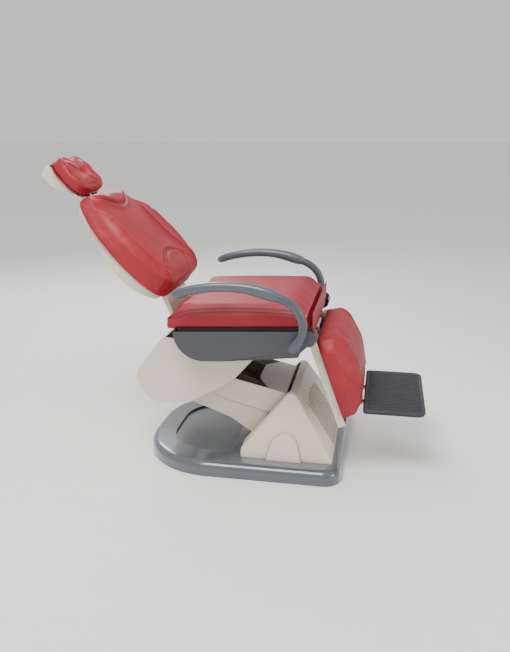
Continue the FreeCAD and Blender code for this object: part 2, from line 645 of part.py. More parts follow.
def build_backrest():
    """Neck, shaft and crank, casing, board and cushion of the backrest, and the headrest guide."""
    neck_out, neck_in = size("neck_out"), size("neck_in")
    lean = radians(size("back_lean"))

    def leaning(x, z, *rest):
        """Corner given level, about the back pivot, in the leaning frame of the backrest."""
        return (x * cos(lean) + z * sin(lean), z * cos(lean) - x * sin(lean), *rest)

    corners = [leaning(14, -14, 13), leaning(14, 14, 13), leaning(-24, 13, 8), (26.5, 109),
               (26.5, 150), (9.5, 150), (9.5, 118), leaning(-47, 34, 20), leaning(-12, -14, 12)]
    block = slab("neck_block", "XZ", [loop(corners)], -neck_out, neck_out)
    between = slab("neck_between", "XZ", [loop([leaning(40, -40), leaning(40, 60), leaning(-22, 34),
                                                leaning(-60, 34), leaning(-60, -40)])],
                   -neck_in, neck_in)
    hollow = slab("neck_hollow", "XZ", [loop([leaning(-33, 30), (21, 105), (21, 146), (14, 146),
                                              (14, 118), leaning(-52, 30)])], -neck_in, neck_in)
    bore = rod("neck_bore", size("back_shaft"), -130, 130)
    keep("back_neck", cut("back_neck", block, between, hollow, bore), BACK)
    shaft = rod("back_pivot_shaft", size("back_shaft"), -118, 118, size("back_x"), size("back_z"))
    keep("back_pivot_shaft", shaft)

    swing = radians(size("back_crank_angle"))
    reach = size("back_crank")
    tip = (-reach * sin(swing), -reach * cos(swing))
    hub = both_sides("crank_hub", [ring(0, 0, 14), ring(0, 0, size("back_shaft"))], 10, 30)
    web = loop([(-11, 0, 4), (tip[0] - 11, tip[1] - 11, 10), (tip[0] + 11, tip[1] - 11, 10),
                (11, 0, 4)])
    plates = both_sides("crank_plates", [web], 10, 18)
    pin = rod("crank_pin", 8, -18, 18, *tip)
    clear = rod("crank_clear", size("back_shaft"), -40, 40)
    keep("back_crank", cut("back_crank", fuse("crank_solid", hub, plates, pin), clear),
         frame_at(size("back_x"), size("back_z"), 0))

    outer = back_wedge("back_casing", 0)
    inner = back_wedge("back_casing_inner", 4)
    exit_slot = slab("back_bar_slot", "YZ", [rectangle(-28, 28, 540, 556)], 11.5, 22.5)
    neck_slot = slab("back_neck_slot", "XZ", [rectangle(9, 28, 112, 138)], -neck_out - 0.4,
                     neck_out + 0.4)
    keep("back_shell", cut("back_shell", outer, inner, exit_slot, neck_slot), BACK)

    board = new_body("back_board")
    feature(board, "Pad", "YZ", [loop(inset(BACK_FACE, 7))], "board_thick - 2", shift=27)
    keep("back_board", board, BACK)

    cushion = new_body("back_cushion")
    feature(cushion, "Pad", "YZ", [loop(BACK_FACE)], "cushion_top - 3", shift=33)
    feature(cushion, "Pocket", "XZ", [loop([(84, 560), (130, 560), (130, 100), (108, 100)])],
            "cushion_half * 3", symmetric=True)
    fillet(cushion, "cushion_top / 4", lambda c, e: c.x > 70)
    keep("back_cushion", cushion, BACK)

    guide = slab("guide_block", "YZ", [rectangle(-34, 34, 470, 538, 4)], 13, 26.8)
    channel = slab("guide_channel", "XY", [rectangle(13.7, 20.3, -22.3, 22.3)], 460, 545)
    keep("headrest_guide", cut("headrest_guide", guide, channel), BACK)


def build_headrest():
    """Sliding bar, double-jointed link and the padded headrest."""
    knee = (10, 588)
    pivot = (0, 660)
    wide = size("bar_half")
    bar = slab("bar_strip", "YZ", [rectangle(-wide, wide, 360, 578, 4)], 14, 20)
    ears = both_sides("bar_ears", [loop([(14, 560), (20, 560), (20, 596, 9), (1, 596, 9),
                                         (1, 578, 9)])], 12, 19)
    pin = rod("bar_pin", 5, -19, 19, *knee)
    keep("headrest_bar", fuse("headrest_bar", bar, ears, pin), BACK)

    run = hypot(pivot[0] - knee[0], pivot[1] - knee[1])
    lean = degrees(atan2(pivot[0] - knee[0], pivot[1] - knee[1]))
    arm = slab("link_arm", "XZ", [rectangle(-5, 5, -5, run + 5, 4.9)], -11, 11)
    bosses = [rod(f"link_boss{n}", 8, -11, 11, 0, place) for n, place in enumerate((0, run))]
    bore = rod("link_bore", 5 + size("running"), -20, 20, 0, 0)
    cross = rod("link_cross_pin", 5, -29, 29, 0, run)
    link = cut("link_bored", fuse("link_solid", arm, *bosses), bore)
    at_knee = BACK.multiply(frame_at(*knee, lean))
    keep("headrest_link", fuse("headrest_link", link, cross), at_knee)

    low, high, half_w = size("head_low"), size("head_high"), size("head_half")
    back = size("head_back")
    face = [(-half_w + 8, low + 4, 60), (half_w - 8, low + 4, 60), (half_w - 4, high - 6, 66),
            (-half_w + 4, high - 6, 66)]
    notch = rectangle(-25, 25, low - 5, 604)
    plate = cut("head_plate", slab("head_plate_face", "YZ", [loop(face)], back - 6, back),
                slab("head_plate_notch", "YZ", [notch], back - 8, back + 2))
    ear_side = [(back - 6, 642), (back - 6, 678), (-9, 669, 8), (-9, 651, 8)]
    ears = both_sides("head_ears", [loop(ear_side),
                                    ring(*pivot, 5 + size("running"))], 22, 28)
    keep("headrest_board", fuse("headrest_board", plate, ears), BACK)

    wall = 3
    side = [(back - 6, low + 12), (back - 6, high - 6, 6), (-26, high - 10, 14), (-26, 668, 20),
            (back - 14, low + 16, 6)]
    casing = slab("head_casing", "XZ", [loop(side)], -92, 92)
    inner = [(a + 4 if a > 15 else a, b, r) for a, b, r in inset(side, wall)]
    hollow = slab("head_casing_hollow", "XZ", [loop(inner)], -92 + wall, 92 - wall)
    below = slab("head_casing_below", "YZ", [rectangle(-40, 40, low - 10, 650)], -60, back)
    keep("headrest_shell", cut("headrest_shell", casing, hollow, below), BACK)

    pad = new_body("headrest_cushion")
    outline = [(-half_w, low, 62), (half_w, low, 62), (half_w, high, 74), (-half_w, high, 74)]
    feature(pad, "Pad", "YZ", [loop(outline)], "cushion_half / 5 - 10", shift=back)
    fillet(pad, "back_shaft * 1.4", lambda c, e: c.x > back + 40)
    keep("headrest_cushion", pad, BACK)


# ---------------------------------------------------------------- leg rest and foot rest
def build_legrest():
    """Leg frame with its crank, tray, board and cushion."""
    wide, long = size("leg_half"), size("leg_length")
    bars = both_sides("leg_bars", [loop([(-14, -13, 12), (-14, 13, 12), (16, 10, 4), (290, 6, 3),
                                         (290, -9, 3), (22, -9, 8), (8, -13, 4)]),
                                   ring(0, 0, 9.05)],
                      size("arm_in"), size("arm_out"))
    tie = rod("leg_tie", 7, -size("arm_out"), size("arm_out"), 34, -1)
    reach = size("leg_crank")
    turn = radians(size("leg_drop"))
    drop_x = -reach * sin(radians(size("leg_crank_angle")))
    drop_z = -reach * cos(radians(size("leg_crank_angle")))
    tip = (drop_x * cos(turn) - drop_z * sin(turn), drop_x * sin(turn) + drop_z * cos(turn))
    middle = size("leg_motor_y")
    web = loop([(tip[0] - 5, tip[1] - 10, 8), (tip[0] + 13, tip[1] - 5, 9), (40, -3, 6), (38, 8, 5),
                (-4, 12, 8), (-12, 4, 8), (tip[0] - 14, tip[1] + 6, 8)])
    cranks = [slab(f"leg_web{n}", "XZ", [web, ring(0, 0, 9.05)], middle + low, middle + low + 6)
              for n, low in enumerate((-12, 6))]
    pin = rod("leg_crank_pin", 6, middle - 12, middle + 12, *tip)
    keep("leg_frame", fuse("leg_frame", bars, tie, *cranks, pin), LEG)

    side = [(10, 12), (10, -15, 5), (long + 25, -15, 5), (long + 25, 12)]
    block = slab("leg_block", "XZ", [loop(side[::-1])], -wide, wide)
    hollow = slab("leg_hollow", "XZ", [rectangle(13, long + 22, -12, 20)], -wide + 3, wide - 3)
    top_gap = slab("leg_top_gap", "XZ", [rectangle(8, 14, -16, 20)], -120, 120)
    end_gaps = both_sides("leg_end_gap", [rectangle(long + 20, long + 30, -9, 20)], 54, 96)
    crank_gap = slab("leg_crank_gap", "XY", [rectangle(8, 48, middle - 13, middle + 13)], -20, -5)
    keep("leg_shell", cut("leg_shell", block, hollow, top_gap, end_gaps, crank_gap), LEG)

    board = new_body("leg_board")
    feature(board, "Pad", "XY", [rectangle(18, long - 4, -wide + 6, wide - 6, 10)],
            "board_thick / 2", shift=12)
    keep("leg_board", board, LEG)

    cushion = new_body("leg_cushion")
    profile = [(16, 16, 3), (long, 16, 3), (long - 4, 72, 22), (150, 92, 160), (15, 76, 24)]
    feature(cushion, "Pad", "XZ", [loop(profile)], "leg_half * 2", symmetric=True)
    fillet(cushion, "tie_half", lambda c, e: abs(c.y) > wide - 1 and c.z > 65)
    keep("leg_cushion", cushion, LEG)


def build_footrest():
    """Bracket that draws out of the leg tray, with its plate, ribbed mat and screws."""
    turn = radians(size("leg_drop"))

    def in_leg(x, z):
        """World point in the leg rest's frame."""
        dx, dz = x - size("leg_x"), z - size("leg_z")
        return (dx * cos(turn) - dz * sin(turn), dx * sin(turn) + dz * cos(turn))

    rear, floor = size("foot_rear"), size("foot_z")
    shelf = [in_leg(rear + 124, floor), in_leg(rear + 124, floor - 6), in_leg(rear + 17, floor - 6)]
    side = [(150, 0), (150, -8), (314, -8), (314, 60), *shelf[::-1], (306, 86), (306, 0)]
    arms = both_sides("foot_arms", [loop(side)], 60, 88)
    web = slab("foot_web", "XZ", [rectangle(306, 314, 14, 60)], -60, 60)
    keep("foot_bracket", fuse("foot_bracket", arms, web), LEG)

    screws = []
    for number, (y, z) in enumerate([(-40, 37), (40, 37)]):
        head = rod(f"foot_screw{number}", 7, 314, 318, y, z, "X")
        screws.append(head)
    keep("foot_bracket_screws", fuse("foot_bracket_screws", *screws), LEG)

    fore, half_w, corner = size("foot_front"), size("foot_half"), size("foot_round")
    plan = [(rear, -half_w, 10), (fore, -half_w, corner), (fore, half_w, corner), (rear, half_w, 10)]
    plate = new_body("foot_plate")
    feature(plate, "Pad", "XY", [loop(inset(plan, 3))], "board_thick / 2", shift=floor)
    keep("foot_plate", plate)
    mat = new_body("foot_mat")
    feature(mat, "Pad", "XY", [loop(plan)], "plate_thick + base_wall", shift=floor + 4)
    fillet(mat, "base_wall", lambda c, e: c.z > floor + 15)
    gaps = [rectangle(rear + 14, fore - 14, y - 4, y + 4, 3.9) for y in range(-180, 181, 20)]
    feature(mat, "Pocket", "XY", gaps, "base_wall - 1", shift=floor + 16)
    keep("foot_mat", mat)


# ---------------------------------------------------------------- armrests
def swept_tube(name, run, radius):
    """Round bar along a smooth run of lines and arcs, one solid for each run, joined end to end."""
    bar = None
    for number, curve in enumerate(run):
        edge = curve.toShape()
        start, end = edge.firstVertex().Point, edge.lastVertex().Point
        direction = edge.tangentAt(edge.FirstParameter)
        if isinstance(curve, Part.LineSegment):
            solid = Part.makeCylinder(radius, (end - start).Length, start, direction)
        else:
            section = Part.Face(Part.Wire([Part.Circle(start, direction, radius).toShape()]))
            turn = degrees(edge.LastParameter - edge.FirstParameter)
            solid = section.revolve(edge.Curve.Center, edge.Curve.Axis, turn)
        bar = solid if bar is None else bar.fuse(solid)
    item = doc.addObject("Part::Feature", name)
    item.Shape = bar
    return item


def armrest_route(y):
    """Lower straight run, bend and upper straight run of the armrest tube's centre line."""
    low = V(size("armrest_x"), y, size("armrest_z"))
    corner = V(235.7, y, 608.9)
    high = V(133, y, 646)
    radius = 65
    before = (low - corner).normalize()
    after = (high - corner).normalize()
    half_turn = before.getAngle(after) / 2
    reach = radius / tan(half_turn)
    centre = corner + (before + after).normalize() * (radius / sin(half_turn))
    middle = centre + (corner - centre).normalize() * radius
    start, end = corner + before * reach, corner + after * reach
    return [Part.LineSegment(low, start), Part.Arc(start, middle, end), Part.LineSegment(end, high)]


def build_armrests():
    """Both armrests: a bent tube on a pivot, with a moulded grip."""
    outer = size("armrest_y") + size("armrest_tube") + 0.3
    pivots = []
    for side, word in ((-1, "right"), (1, "left")):
        y = side * size("armrest_y")
        tube = swept_tube(f"{word}_tube", armrest_route(y), size("armrest_tube"))
        x, z = size("armrest_x"), size("armrest_z")
        low, high = sorted((side * 306.3, side * outer))
        knuckle = rod(f"{word}_knuckle", 17, low, high, x, z)
        bore = rod(f"{word}_bore", 8 + size("running"), *sorted((side * 300, side * 326)), x, z)
        solid = fuse(f"{word}_arm_solid", tube, knuckle)
        keep(f"armrest_{word}_tube", cut(f"armrest_{word}_tube", solid, bore))
        grip_line = Part.Arc(V(133, y, 646), V(-49, y, 672), V(-192, y, 640))
        keep(f"armrest_{word}_grip", swept_tube(f"armrest_{word}_grip", [grip_line],
                                                size("grip_radius")))
        boss = rod(f"{word}_boss", 18, *sorted((side * 291, side * 306)), x, z)
        pin = rod(f"{word}_pin", 8, *sorted((side * 291, side * 325)), x, z)
        pivots.append(fuse(f"{word}_pivot", boss, pin))
    keep("armrest_pivots", fuse("armrest_pivots", *pivots))


# ---------------------------------------------------------------- build and write
def check():
    """Stop when any object failed, or any sub-part is not a set of valid closed solids."""
    doc.recompute()
    for item in doc.Objects:
        if "Invalid" in item.State or "Error" in item.State:
            raise RuntimeError(f"{item.Name} failed: {item.State}")
    for item in pieces:
        shape = item.Shape
        if shape.isNull() or not shape.isValid() or not shape.Solids:
            raise RuntimeError(f"{item.Label} is not a valid solid")


def write():
    """One STEP file for each sub-part."""
    os.makedirs("parts", exist_ok=True)
    for item in pieces:
        item.Shape.exportStep(f"parts/{item.Label}.step")


for build in (build_base, build_tower, build_stand, build_lift, build_lift_actuator, build_carriage,
              build_seat, build_seat_drives, build_backrest, build_headrest, build_legrest,
              build_footrest, build_armrests):
    build()
check()
write()
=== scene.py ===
"""Dental treatment chair: upholstery, mouldings and finishes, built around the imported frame."""
import logging
import math
from dataclasses import dataclass, field
from enum import Enum
from typing import Callable, Iterable, Sequence

import bmesh
import bpy
import numpy as np
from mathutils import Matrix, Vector
from mathutils.bvhtree import BVHTree


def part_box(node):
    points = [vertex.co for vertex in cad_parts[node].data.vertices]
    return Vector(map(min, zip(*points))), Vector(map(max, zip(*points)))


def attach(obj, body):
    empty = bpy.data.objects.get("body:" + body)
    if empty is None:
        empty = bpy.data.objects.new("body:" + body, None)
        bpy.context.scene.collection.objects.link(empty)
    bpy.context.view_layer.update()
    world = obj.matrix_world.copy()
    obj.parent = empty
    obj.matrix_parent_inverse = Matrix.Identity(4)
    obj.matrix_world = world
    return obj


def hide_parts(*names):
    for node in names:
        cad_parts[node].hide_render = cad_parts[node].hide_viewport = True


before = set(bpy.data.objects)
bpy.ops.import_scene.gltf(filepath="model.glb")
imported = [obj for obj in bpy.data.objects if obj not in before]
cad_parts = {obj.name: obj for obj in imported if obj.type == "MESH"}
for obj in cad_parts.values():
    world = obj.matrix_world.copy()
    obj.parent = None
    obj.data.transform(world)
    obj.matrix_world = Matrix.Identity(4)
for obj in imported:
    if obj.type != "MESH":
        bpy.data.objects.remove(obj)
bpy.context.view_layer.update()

MM = 0.001
LOG = logging.getLogger("dental_chair")
# Painted shade: the leather's red darkened towards this tone along the seam grooves and in the button's
# dimple.
SEAM_SHADE_TONE = "#4d0d12"
SEAM_SHADE_STRENGTH = 0.75
Relief = Callable[[np.ndarray], tuple[np.ndarray, np.ndarray]]


class Body(str, Enum):
    """Rigid bodies of the frame that the pieces ride on."""

    BASE = "base"
    CARRIAGE = "carriage"
    BACKREST = "backrest"
    HEADREST = "headrest"
    LEGREST = "legrest"
    FOOTREST = "footrest"
    ARM_RIGHT = "armrest_right"
    ARM_LEFT = "armrest_left"


# ------------------------------------------------------------------ finishes
def linear(code: str) -> tuple[float, float, float, float]:
    """Linear colour of an sRGB hex code.

    Args:
        code: six hex digits after a hash.

    Returns:
        Red, green, blue and an alpha of one.
    """
    parts = [int(code[at:at + 2], 16) / 255 for at in (1, 3, 5)]
    return tuple(p / 12.92 if p <= 0.04045 else ((p + 0.055) / 1.055) ** 2.4 for p in parts) + (1.0,)


def add(tree: bpy.types.NodeTree, kind: str, settings: dict | None = None,
        links: dict | None = None) -> bpy.types.Node:
    """Add one node with its settings and links.

    Args:
        tree: the node tree.
        kind: the node's type name.
        settings: attribute names, or input names, with their values.
        links: input names or numbers with the output sockets that feed them.

    Returns:
        The new node.
    """
    node = tree.nodes.new(kind)
    for name, value in (settings or {}).items():
        if isinstance(name, str) and hasattr(node, name):
            setattr(node, name, value)
        else:
            node.inputs[name].default_value = value
    for name, source in (links or {}).items():
        tree.links.new(source, node.inputs[name])
    return node


@dataclass(frozen=True)
class Finish:
    """A finish: what the surface is made of, and how it was made.

    Attributes:
        name: the material's name.
        colour: main colour, sRGB hex.
        shade: the darker tone that the pattern brings in, sRGB hex.
        roughness: surface roughness.
        grain_mm: size of the surface pattern.
        relief_mm: depth of the surface pattern.
        metallic: one for bare metal.
        coat: weight of a clear top layer.
        edge_mm: radius that softens the edges in the normals, zero for none.
        seams: whether painted shade darkens the seam grooves, read from the mesh's seam attribute.
        mottle_mm: size of the slow change of tone.
        blend: how much of the darker tone comes in.
        hollow: painted shade that darkens recesses by ambient occlusion, sRGB hex, empty for none.
    """

    name: str
    colour: str
    shade: str
    roughness: float
    grain_mm: float
    relief_mm: float
    metallic: float = 0.0
    coat: float = 0.0
    edge_mm: float = 0.0
    seams: bool = False
    mottle_mm: float = 90.0
    blend: float = 0.5
    hollow: str = ""

    def material(self) -> bpy.types.Material:
        """Build the node material once, and give the same one each time.

        Returns:
            The material.
        """
        made = bpy.data.materials.get(self.name)
        if made is not None:
            return made
        made = bpy.data.materials.new(self.name)
        made.use_nodes = True
        tree = made.node_tree
        tree.nodes.clear()
        place = add(tree, "ShaderNodeTexCoord").outputs["Object"]
        mottle = add(tree, "ShaderNodeTexNoise", {"Scale": 1 / (self.mottle_mm * MM), "Detail": 3.0,
                                                  "Roughness": 0.6}, {"Vector": place})
        band = add(tree, "ShaderNodeMapRange", {"From Min": 0.35, "From Max": 0.7, "To Min": 0.0,
                                                "To Max": self.blend},
                   {"Value": mottle.outputs["Fac"]})
        colour = add(tree, "ShaderNodeMix", {"data_type": "RGBA"}, {0: band.outputs[0]})
        colour.inputs[6].default_value = linear(self.colour)
        colour.inputs[7].default_value = linear(self.shade)
        tone = colour.outputs[2]
        # Painted shade: ambient occlusion darkens recesses and grooves towards the hollow tone.
        if self.hollow:
            nook = add(tree, "ShaderNodeAmbientOcclusion", {"samples": 6, "Distance": 0.03})
            open_part = add(tree, "ShaderNodeMapRange", {"From Min": 0.35, "From Max": 0.85},
                            {"Value": nook.outputs["AO"]})
            deep = add(tree, "ShaderNodeMix", {"data_type": "RGBA"}, {0: open_part.outputs[0]})
            deep.inputs[6].default_value = linear(self.hollow)
            tree.links.new(tone, deep.inputs[7])
            tone = deep.outputs[2]
        # Painted shade: the seam attribute darkens the grooves towards the seam shade tone.
        if self.seams:
            groove = add(tree, "ShaderNodeAttribute", {"attribute_name": "seam"})
            dark = add(tree, "ShaderNodeMix", {"data_type": "RGBA"}, {0: groove.outputs["Fac"]})
            tree.links.new(tone, dark.inputs[6])
            dark.inputs[7].default_value = linear(SEAM_SHADE_TONE)
            tone = dark.outputs[2]
        shader = add(tree, "ShaderNodeBsdfPrincipled",
                     {"Metallic": self.metallic, "Coat Weight": self.coat, "Coat Roughness": 0.08},
                     {"Base Color": tone})
        gloss = add(tree, "ShaderNodeMapRange", {"To Min": self.roughness * 0.86,
                                                 "To Max": min(self.roughness * 1.14, 1.0)},
                    {"Value": mottle.outputs["Fac"]})
        tree.links.new(gloss.outputs[0], shader.inputs["Roughness"])
        cells = add(tree, "ShaderNodeTexVoronoi", {"Scale": 1 / (self.grain_mm * MM)},
                    {"Vector": place})
        fine = add(tree, "ShaderNodeTexNoise", {"Scale": 2 / (self.grain_mm * MM), "Detail": 4.0},
                   {"Vector": place})
        height = add(tree, "ShaderNodeMath", {"operation": "MULTIPLY"},
                     {0: cells.outputs["Distance"], 1: fine.outputs["Fac"]})
        bump = add(tree, "ShaderNodeBump", {"Strength": 0.6, "Distance": self.relief_mm * MM},
                   {"Height": height.outputs[0]})
        if self.edge_mm:
            soft = add(tree, "ShaderNodeBevel", {"samples": 4, "Radius": self.edge_mm * MM})
            tree.links.new(soft.outputs["Normal"], bump.inputs["Normal"])
        tree.links.new(bump.outputs["Normal"], shader.inputs["Normal"])
        out = add(tree, "ShaderNodeOutputMaterial")
        tree.links.new(shader.outputs["BSDF"], out.inputs["Surface"])
        return made


# Coated upholstery leather, embossed grain: soft sheen, grain drawn at 5 mm so that it shows, and
# painted shade in its seam grooves.
LEATHER = Finish("red_upholstery_leather", "#981524", "#850f1c", 0.55, 5.0, 0.3, seams=True,
                 blend=0.6)
# The same leather stretched round the boards' edges, where it is pulled flat and dull.
WRAP = Finish("red_leather_over_board", "#7a0f1b", "#6a0c17", 0.5, 5.0, 0.2)
# Bonded polyester thread, twisted: matt and a little lighter than the leather.
THREAD = Finish("red_polyester_thread", "#8e1a26", "#74121c", 0.7, 1.0, 0.1)
# ABS, injection moulded with a fine satin texture: even ivory with a soft highlight, and painted shade
# in its grooves and recesses.
IVORY = Finish("ivory_moulded_abs", "#d8cfba", "#cec4ae", 0.34, 2.0, 0.05, coat=0.15, edge_mm=3.0,
               mottle_mm=240.0, hollow="#7d7461")
# Fibreglass with a polished gel coat: deep grey with sharp highlights.
GELCOAT = Finish("grey_polished_gelcoat", "#53575f", "#4c5057", 0.2, 3.0, 0.04, coat=0.9,
                 edge_mm=3.0, mottle_mm=200.0)
# The same gel coat, rubbed down on the service lid: a wider, duller highlight.
LID = Finish("grey_satin_gelcoat", "#4b4e54", "#44474c", 0.34, 3.0, 0.05, coat=0.3, edge_mm=2.0)
# ABS, dark, injection moulded: satin with a light edge.
TRAY = Finish("charcoal_moulded_abs", "#3d3f45", "#36383d", 0.36, 2.0, 0.06, coat=0.1, edge_mm=2.0)
# Integral-skin polyurethane, moulded: a tight, slightly leathery skin.
GRIP = Finish("slate_integral_skin_foam", "#50565f", "#474d55", 0.34, 3.0, 0.1, coat=0.35)
# The same skin on the arm tube, a little darker all over than on the grip.
STEM = Finish("slate_skin_on_tube", "#484d55", "#40444b", 0.36, 3.0, 0.1, coat=0.25)
# Nitrile rubber, compression moulded: matt charcoal with a dusty bloom.
RUBBER = Finish("charcoal_moulded_rubber", "#34353a", "#2b2c30", 0.68, 2.5, 0.2, mottle_mm=40.0)
# Mild steel, powder coated: fine orange peel.
POWDER = Finish("dark_powder_coat", "#3c3f44", "#33363a", 0.5, 1.6, 0.08, edge_mm=1.0)
# Mild steel, powder coated; its colour is the covers' ivory in painted shade, standing in for the shaded
# covers inside them.
PAINTED_SHADE_POWDER = Finish("powder_coat_in_painted_shade", "#7f7563", "#746a58", 0.5, 1.6, 0.08, edge_mm=1.0)
# Steel, turned or ground bright: bare metal with fine lines.
STEEL = Finish("bright_ground_steel", "#b9bcc0", "#9fa2a6", 0.3, 0.8, 0.03, metallic=1.0)
# Sintered bronze, oil filled: dull warm metal.
BRONZE = Finish("sintered_bronze", "#a8834a", "#8c6a38", 0.45, 0.8, 0.05, metallic=1.0)
# Zinc plate with a yellow passivate on the bracket's screws: warm bright metal.
YELLOW_ZINC = Finish("yellow_zinc_plate", "#c4a468", "#a38448", 0.35, 0.8, 0.03, metallic=1.0)
# ABS, black, as moulded: motor and control housings.
HOUSING = Finish("black_moulded_abs", "#2c2d30", "#242528", 0.55, 1.5, 0.08, edge_mm=1.0)
# Birch plywood, coloured near black as painted shade for the gap between seat cushion and tray: matt,
# with a faint grain.
GAP_SHADE_PLYWOOD = Finish("plywood_in_painted_gap_shade", "#1f1d1c", "#171615", 0.8, 4.0, 0.1)
# Painted studio floor: pale and matt.
STUDIO = Finish("pale_studio_floor", "#f4f3f1", "#efeeec", 0.9, 8.0, 0.02)

NODE_FINISH: dict[Finish, tuple[str, ...]] = {
    GELCOAT: ("base_cover",),
    LID: ("base_lid",),
    IVORY: ("front_cover", "arm_cover_lower", "arm_cover_upper", "rear_cover", "back_shell",
            "headrest_shell", "leg_shell", "foot_bracket", "back_neck"),
    TRAY: ("armrest_pivots",),
    WRAP: ("back_board", "leg_board", "headrest_board"),
    RUBBER: ("foot_plate",),
    POWDER: ("base_plate", "pivot_stand", "actuator_bracket", "back_crank", "leg_frame",
             "headrest_guide"),
    # Frames inside the covers, coloured as painted shade of the ivory covers.
    PAINTED_SHADE_POWDER: ("lift_arm_frame", "tie_links", "carriage_plates", "seat_frame"),
    STEEL: ("stand_bolts", "lift_pivot_shaft", "link_pivot_shaft", "lift_rod", "arm_rear_shaft",
            "link_rear_shaft", "leg_pivot_shaft", "recline_rod", "leg_rod", "back_pivot_shaft",
            "headrest_bar", "headrest_link"),
    YELLOW_ZINC: ("foot_bracket_screws",),
    BRONZE: ("lift_arm_bushes", "tie_link_bushes", "back_bushes"),
    HOUSING: ("control_box", "lift_motor_housing", "lift_motor_tube", "recline_motor",
              "leg_motor"),
    # Seat board coloured near black as painted shade for the gap under the seat cushion.
    GAP_SHADE_PLYWOOD: ("seat_board",),
}


# ------------------------------------------------------------------ shared mesh work
def link(name: str, mesh: bpy.types.Mesh, finish: Finish, smooth: bool = True) -> bpy.types.Object:
    """Put a mesh into the scene as a finished object at the origin.

    Args:
        name: the piece's name.
        mesh: its mesh, already in place.
        finish: what it is made of.
        smooth: whether its faces are shaded smooth.

    Returns:
        The new object.
    """
    mesh.materials.clear()
    mesh.materials.append(finish.material())
    mesh.polygons.foreach_set("use_smooth", [smooth] * len(mesh.polygons))
    item = bpy.data.objects.new(name, mesh)
    bpy.context.scene.collection.objects.link(item)
    return item


def baked(item: bpy.types.Object) -> bpy.types.Mesh:
    """Plain mesh of an object with its modifiers applied."""
    bpy.context.view_layer.update()
    graph = bpy.context.evaluated_depsgraph_get()
    return bpy.data.meshes.new_from_object(item.evaluated_get(graph))


def settle(item: bpy.types.Object) -> bpy.types.Object:
    """Replace an object's mesh by its modified one, and drop the modifiers."""
    mesh = baked(item)
    item.modifiers.clear()
    item.data = mesh
    return item


def read(mesh: bpy.types.Mesh) -> np.ndarray:
    """Vertex places of a mesh, one row each."""
    flat = np.empty(len(mesh.vertices) * 3)
    mesh.vertices.foreach_get("co", flat)
    return flat.reshape(-1, 3)


def write(mesh: bpy.types.Mesh, places: np.ndarray) -> None:
    """Store vertex places in a mesh."""
    mesh.vertices.foreach_set("co", places.astype(np.float32).ravel())
    mesh.update()


def relax(mesh: bpy.types.Mesh, times: int, inwards_mm: float = 0.0) -> None:
    """Smooth a mesh, and then move its skin inwards.

    Args:
        mesh: the mesh, changed in place.
        times: how often each point moves halfway to its neighbours.
        inwards_mm: how far the skin then moves in, in millimetres.
    """
    work = bmesh.new()
    work.from_mesh(mesh)
    for _ in range(times):
        bmesh.ops.smooth_vert(work, verts=work.verts, factor=0.5, use_axis_x=True,
                              use_axis_y=True, use_axis_z=True)
    if inwards_mm:
        work.normal_update()
        for vertex in work.verts:
            vertex.co -= vertex.normal * inwards_mm * MM
    work.to_mesh(mesh)
    work.free()


def step(value: np.ndarray, low: float, high: float) -> np.ndarray:
    """Smooth rise from zero at low to one at high."""
    part = np.clip((value - low) / (high - low), 0.0, 1.0)
    return part * part * (3 - 2 * part)


def to_line(points: np.ndarray, line: np.ndarray) -> np.ndarray:
    """Distance from each point to a polyline, both in one plane.

    Args:
        points: one row for each point.
        line: one row for each corner of the polyline.

    Returns:
        The distance of each point.
    """
    best = np.full(len(points), 1e9)
    for start, end in zip(line[:-1], line[1:]):
        run = end - start
        share = np.clip(((points - start) @ run) / (run @ run), 0, 1)
        best = np.minimum(best, np.linalg.norm(points - start - share[:, None] * run, axis=1))
    return best


@dataclass(frozen=True)
class Axes:
    """A leaning frame: origin, the way the soft side faces, and the way it runs.

    Attributes:
        origin: its place in the chair, in metres.
        out: unit vector out of the soft side.
        along: unit vector along the cushion.
    """

    origin: tuple[float, float, float]
    out: tuple[float, float, float]
    along: tuple[float, float, float]

    def matrix(self) -> np.ndarray:
        """Columns out, left and along."""
        return np.array([self.out, (0.0, 1.0, 0.0), self.along]).T

    def inward(self, places: np.ndarray) -> np.ndarray:
        """Chair places as (out, left, along), in millimetres."""
        return (places - np.array(self.origin)) @ self.matrix() / MM

    def outward(self, local: np.ndarray) -> np.ndarray:
        """Places given as (out, left, along) in millimetres, back in the chair."""
        return np.array(self.origin) + (local * MM) @ self.matrix().T


def leaning(x: float, z: float, degrees: float) -> Axes:
    """Frame at (x, z) whose long axis leans back from upright by an angle."""
    turn = math.radians(degrees)
    return Axes((x, 0.0, z), (math.cos(turn), 0.0, math.sin(turn)),
                (-math.sin(turn), 0.0, math.cos(turn)))


BACK = leaning(-0.240, 0.488, 43.0)
SEAT = Axes((0.0, 0.0, 0.516), (-math.sin(math.radians(3)), 0.0, math.cos(math.radians(3))),
            (math.cos(math.radians(3)), 0.0, math.sin(math.radians(3))))
LEG = Axes((0.240, 0.0, 0.480), (math.sin(math.radians(70)), 0.0, math.cos(math.radians(70))),
           (math.cos(math.radians(70)), 0.0, -math.sin(math.radians(70))))


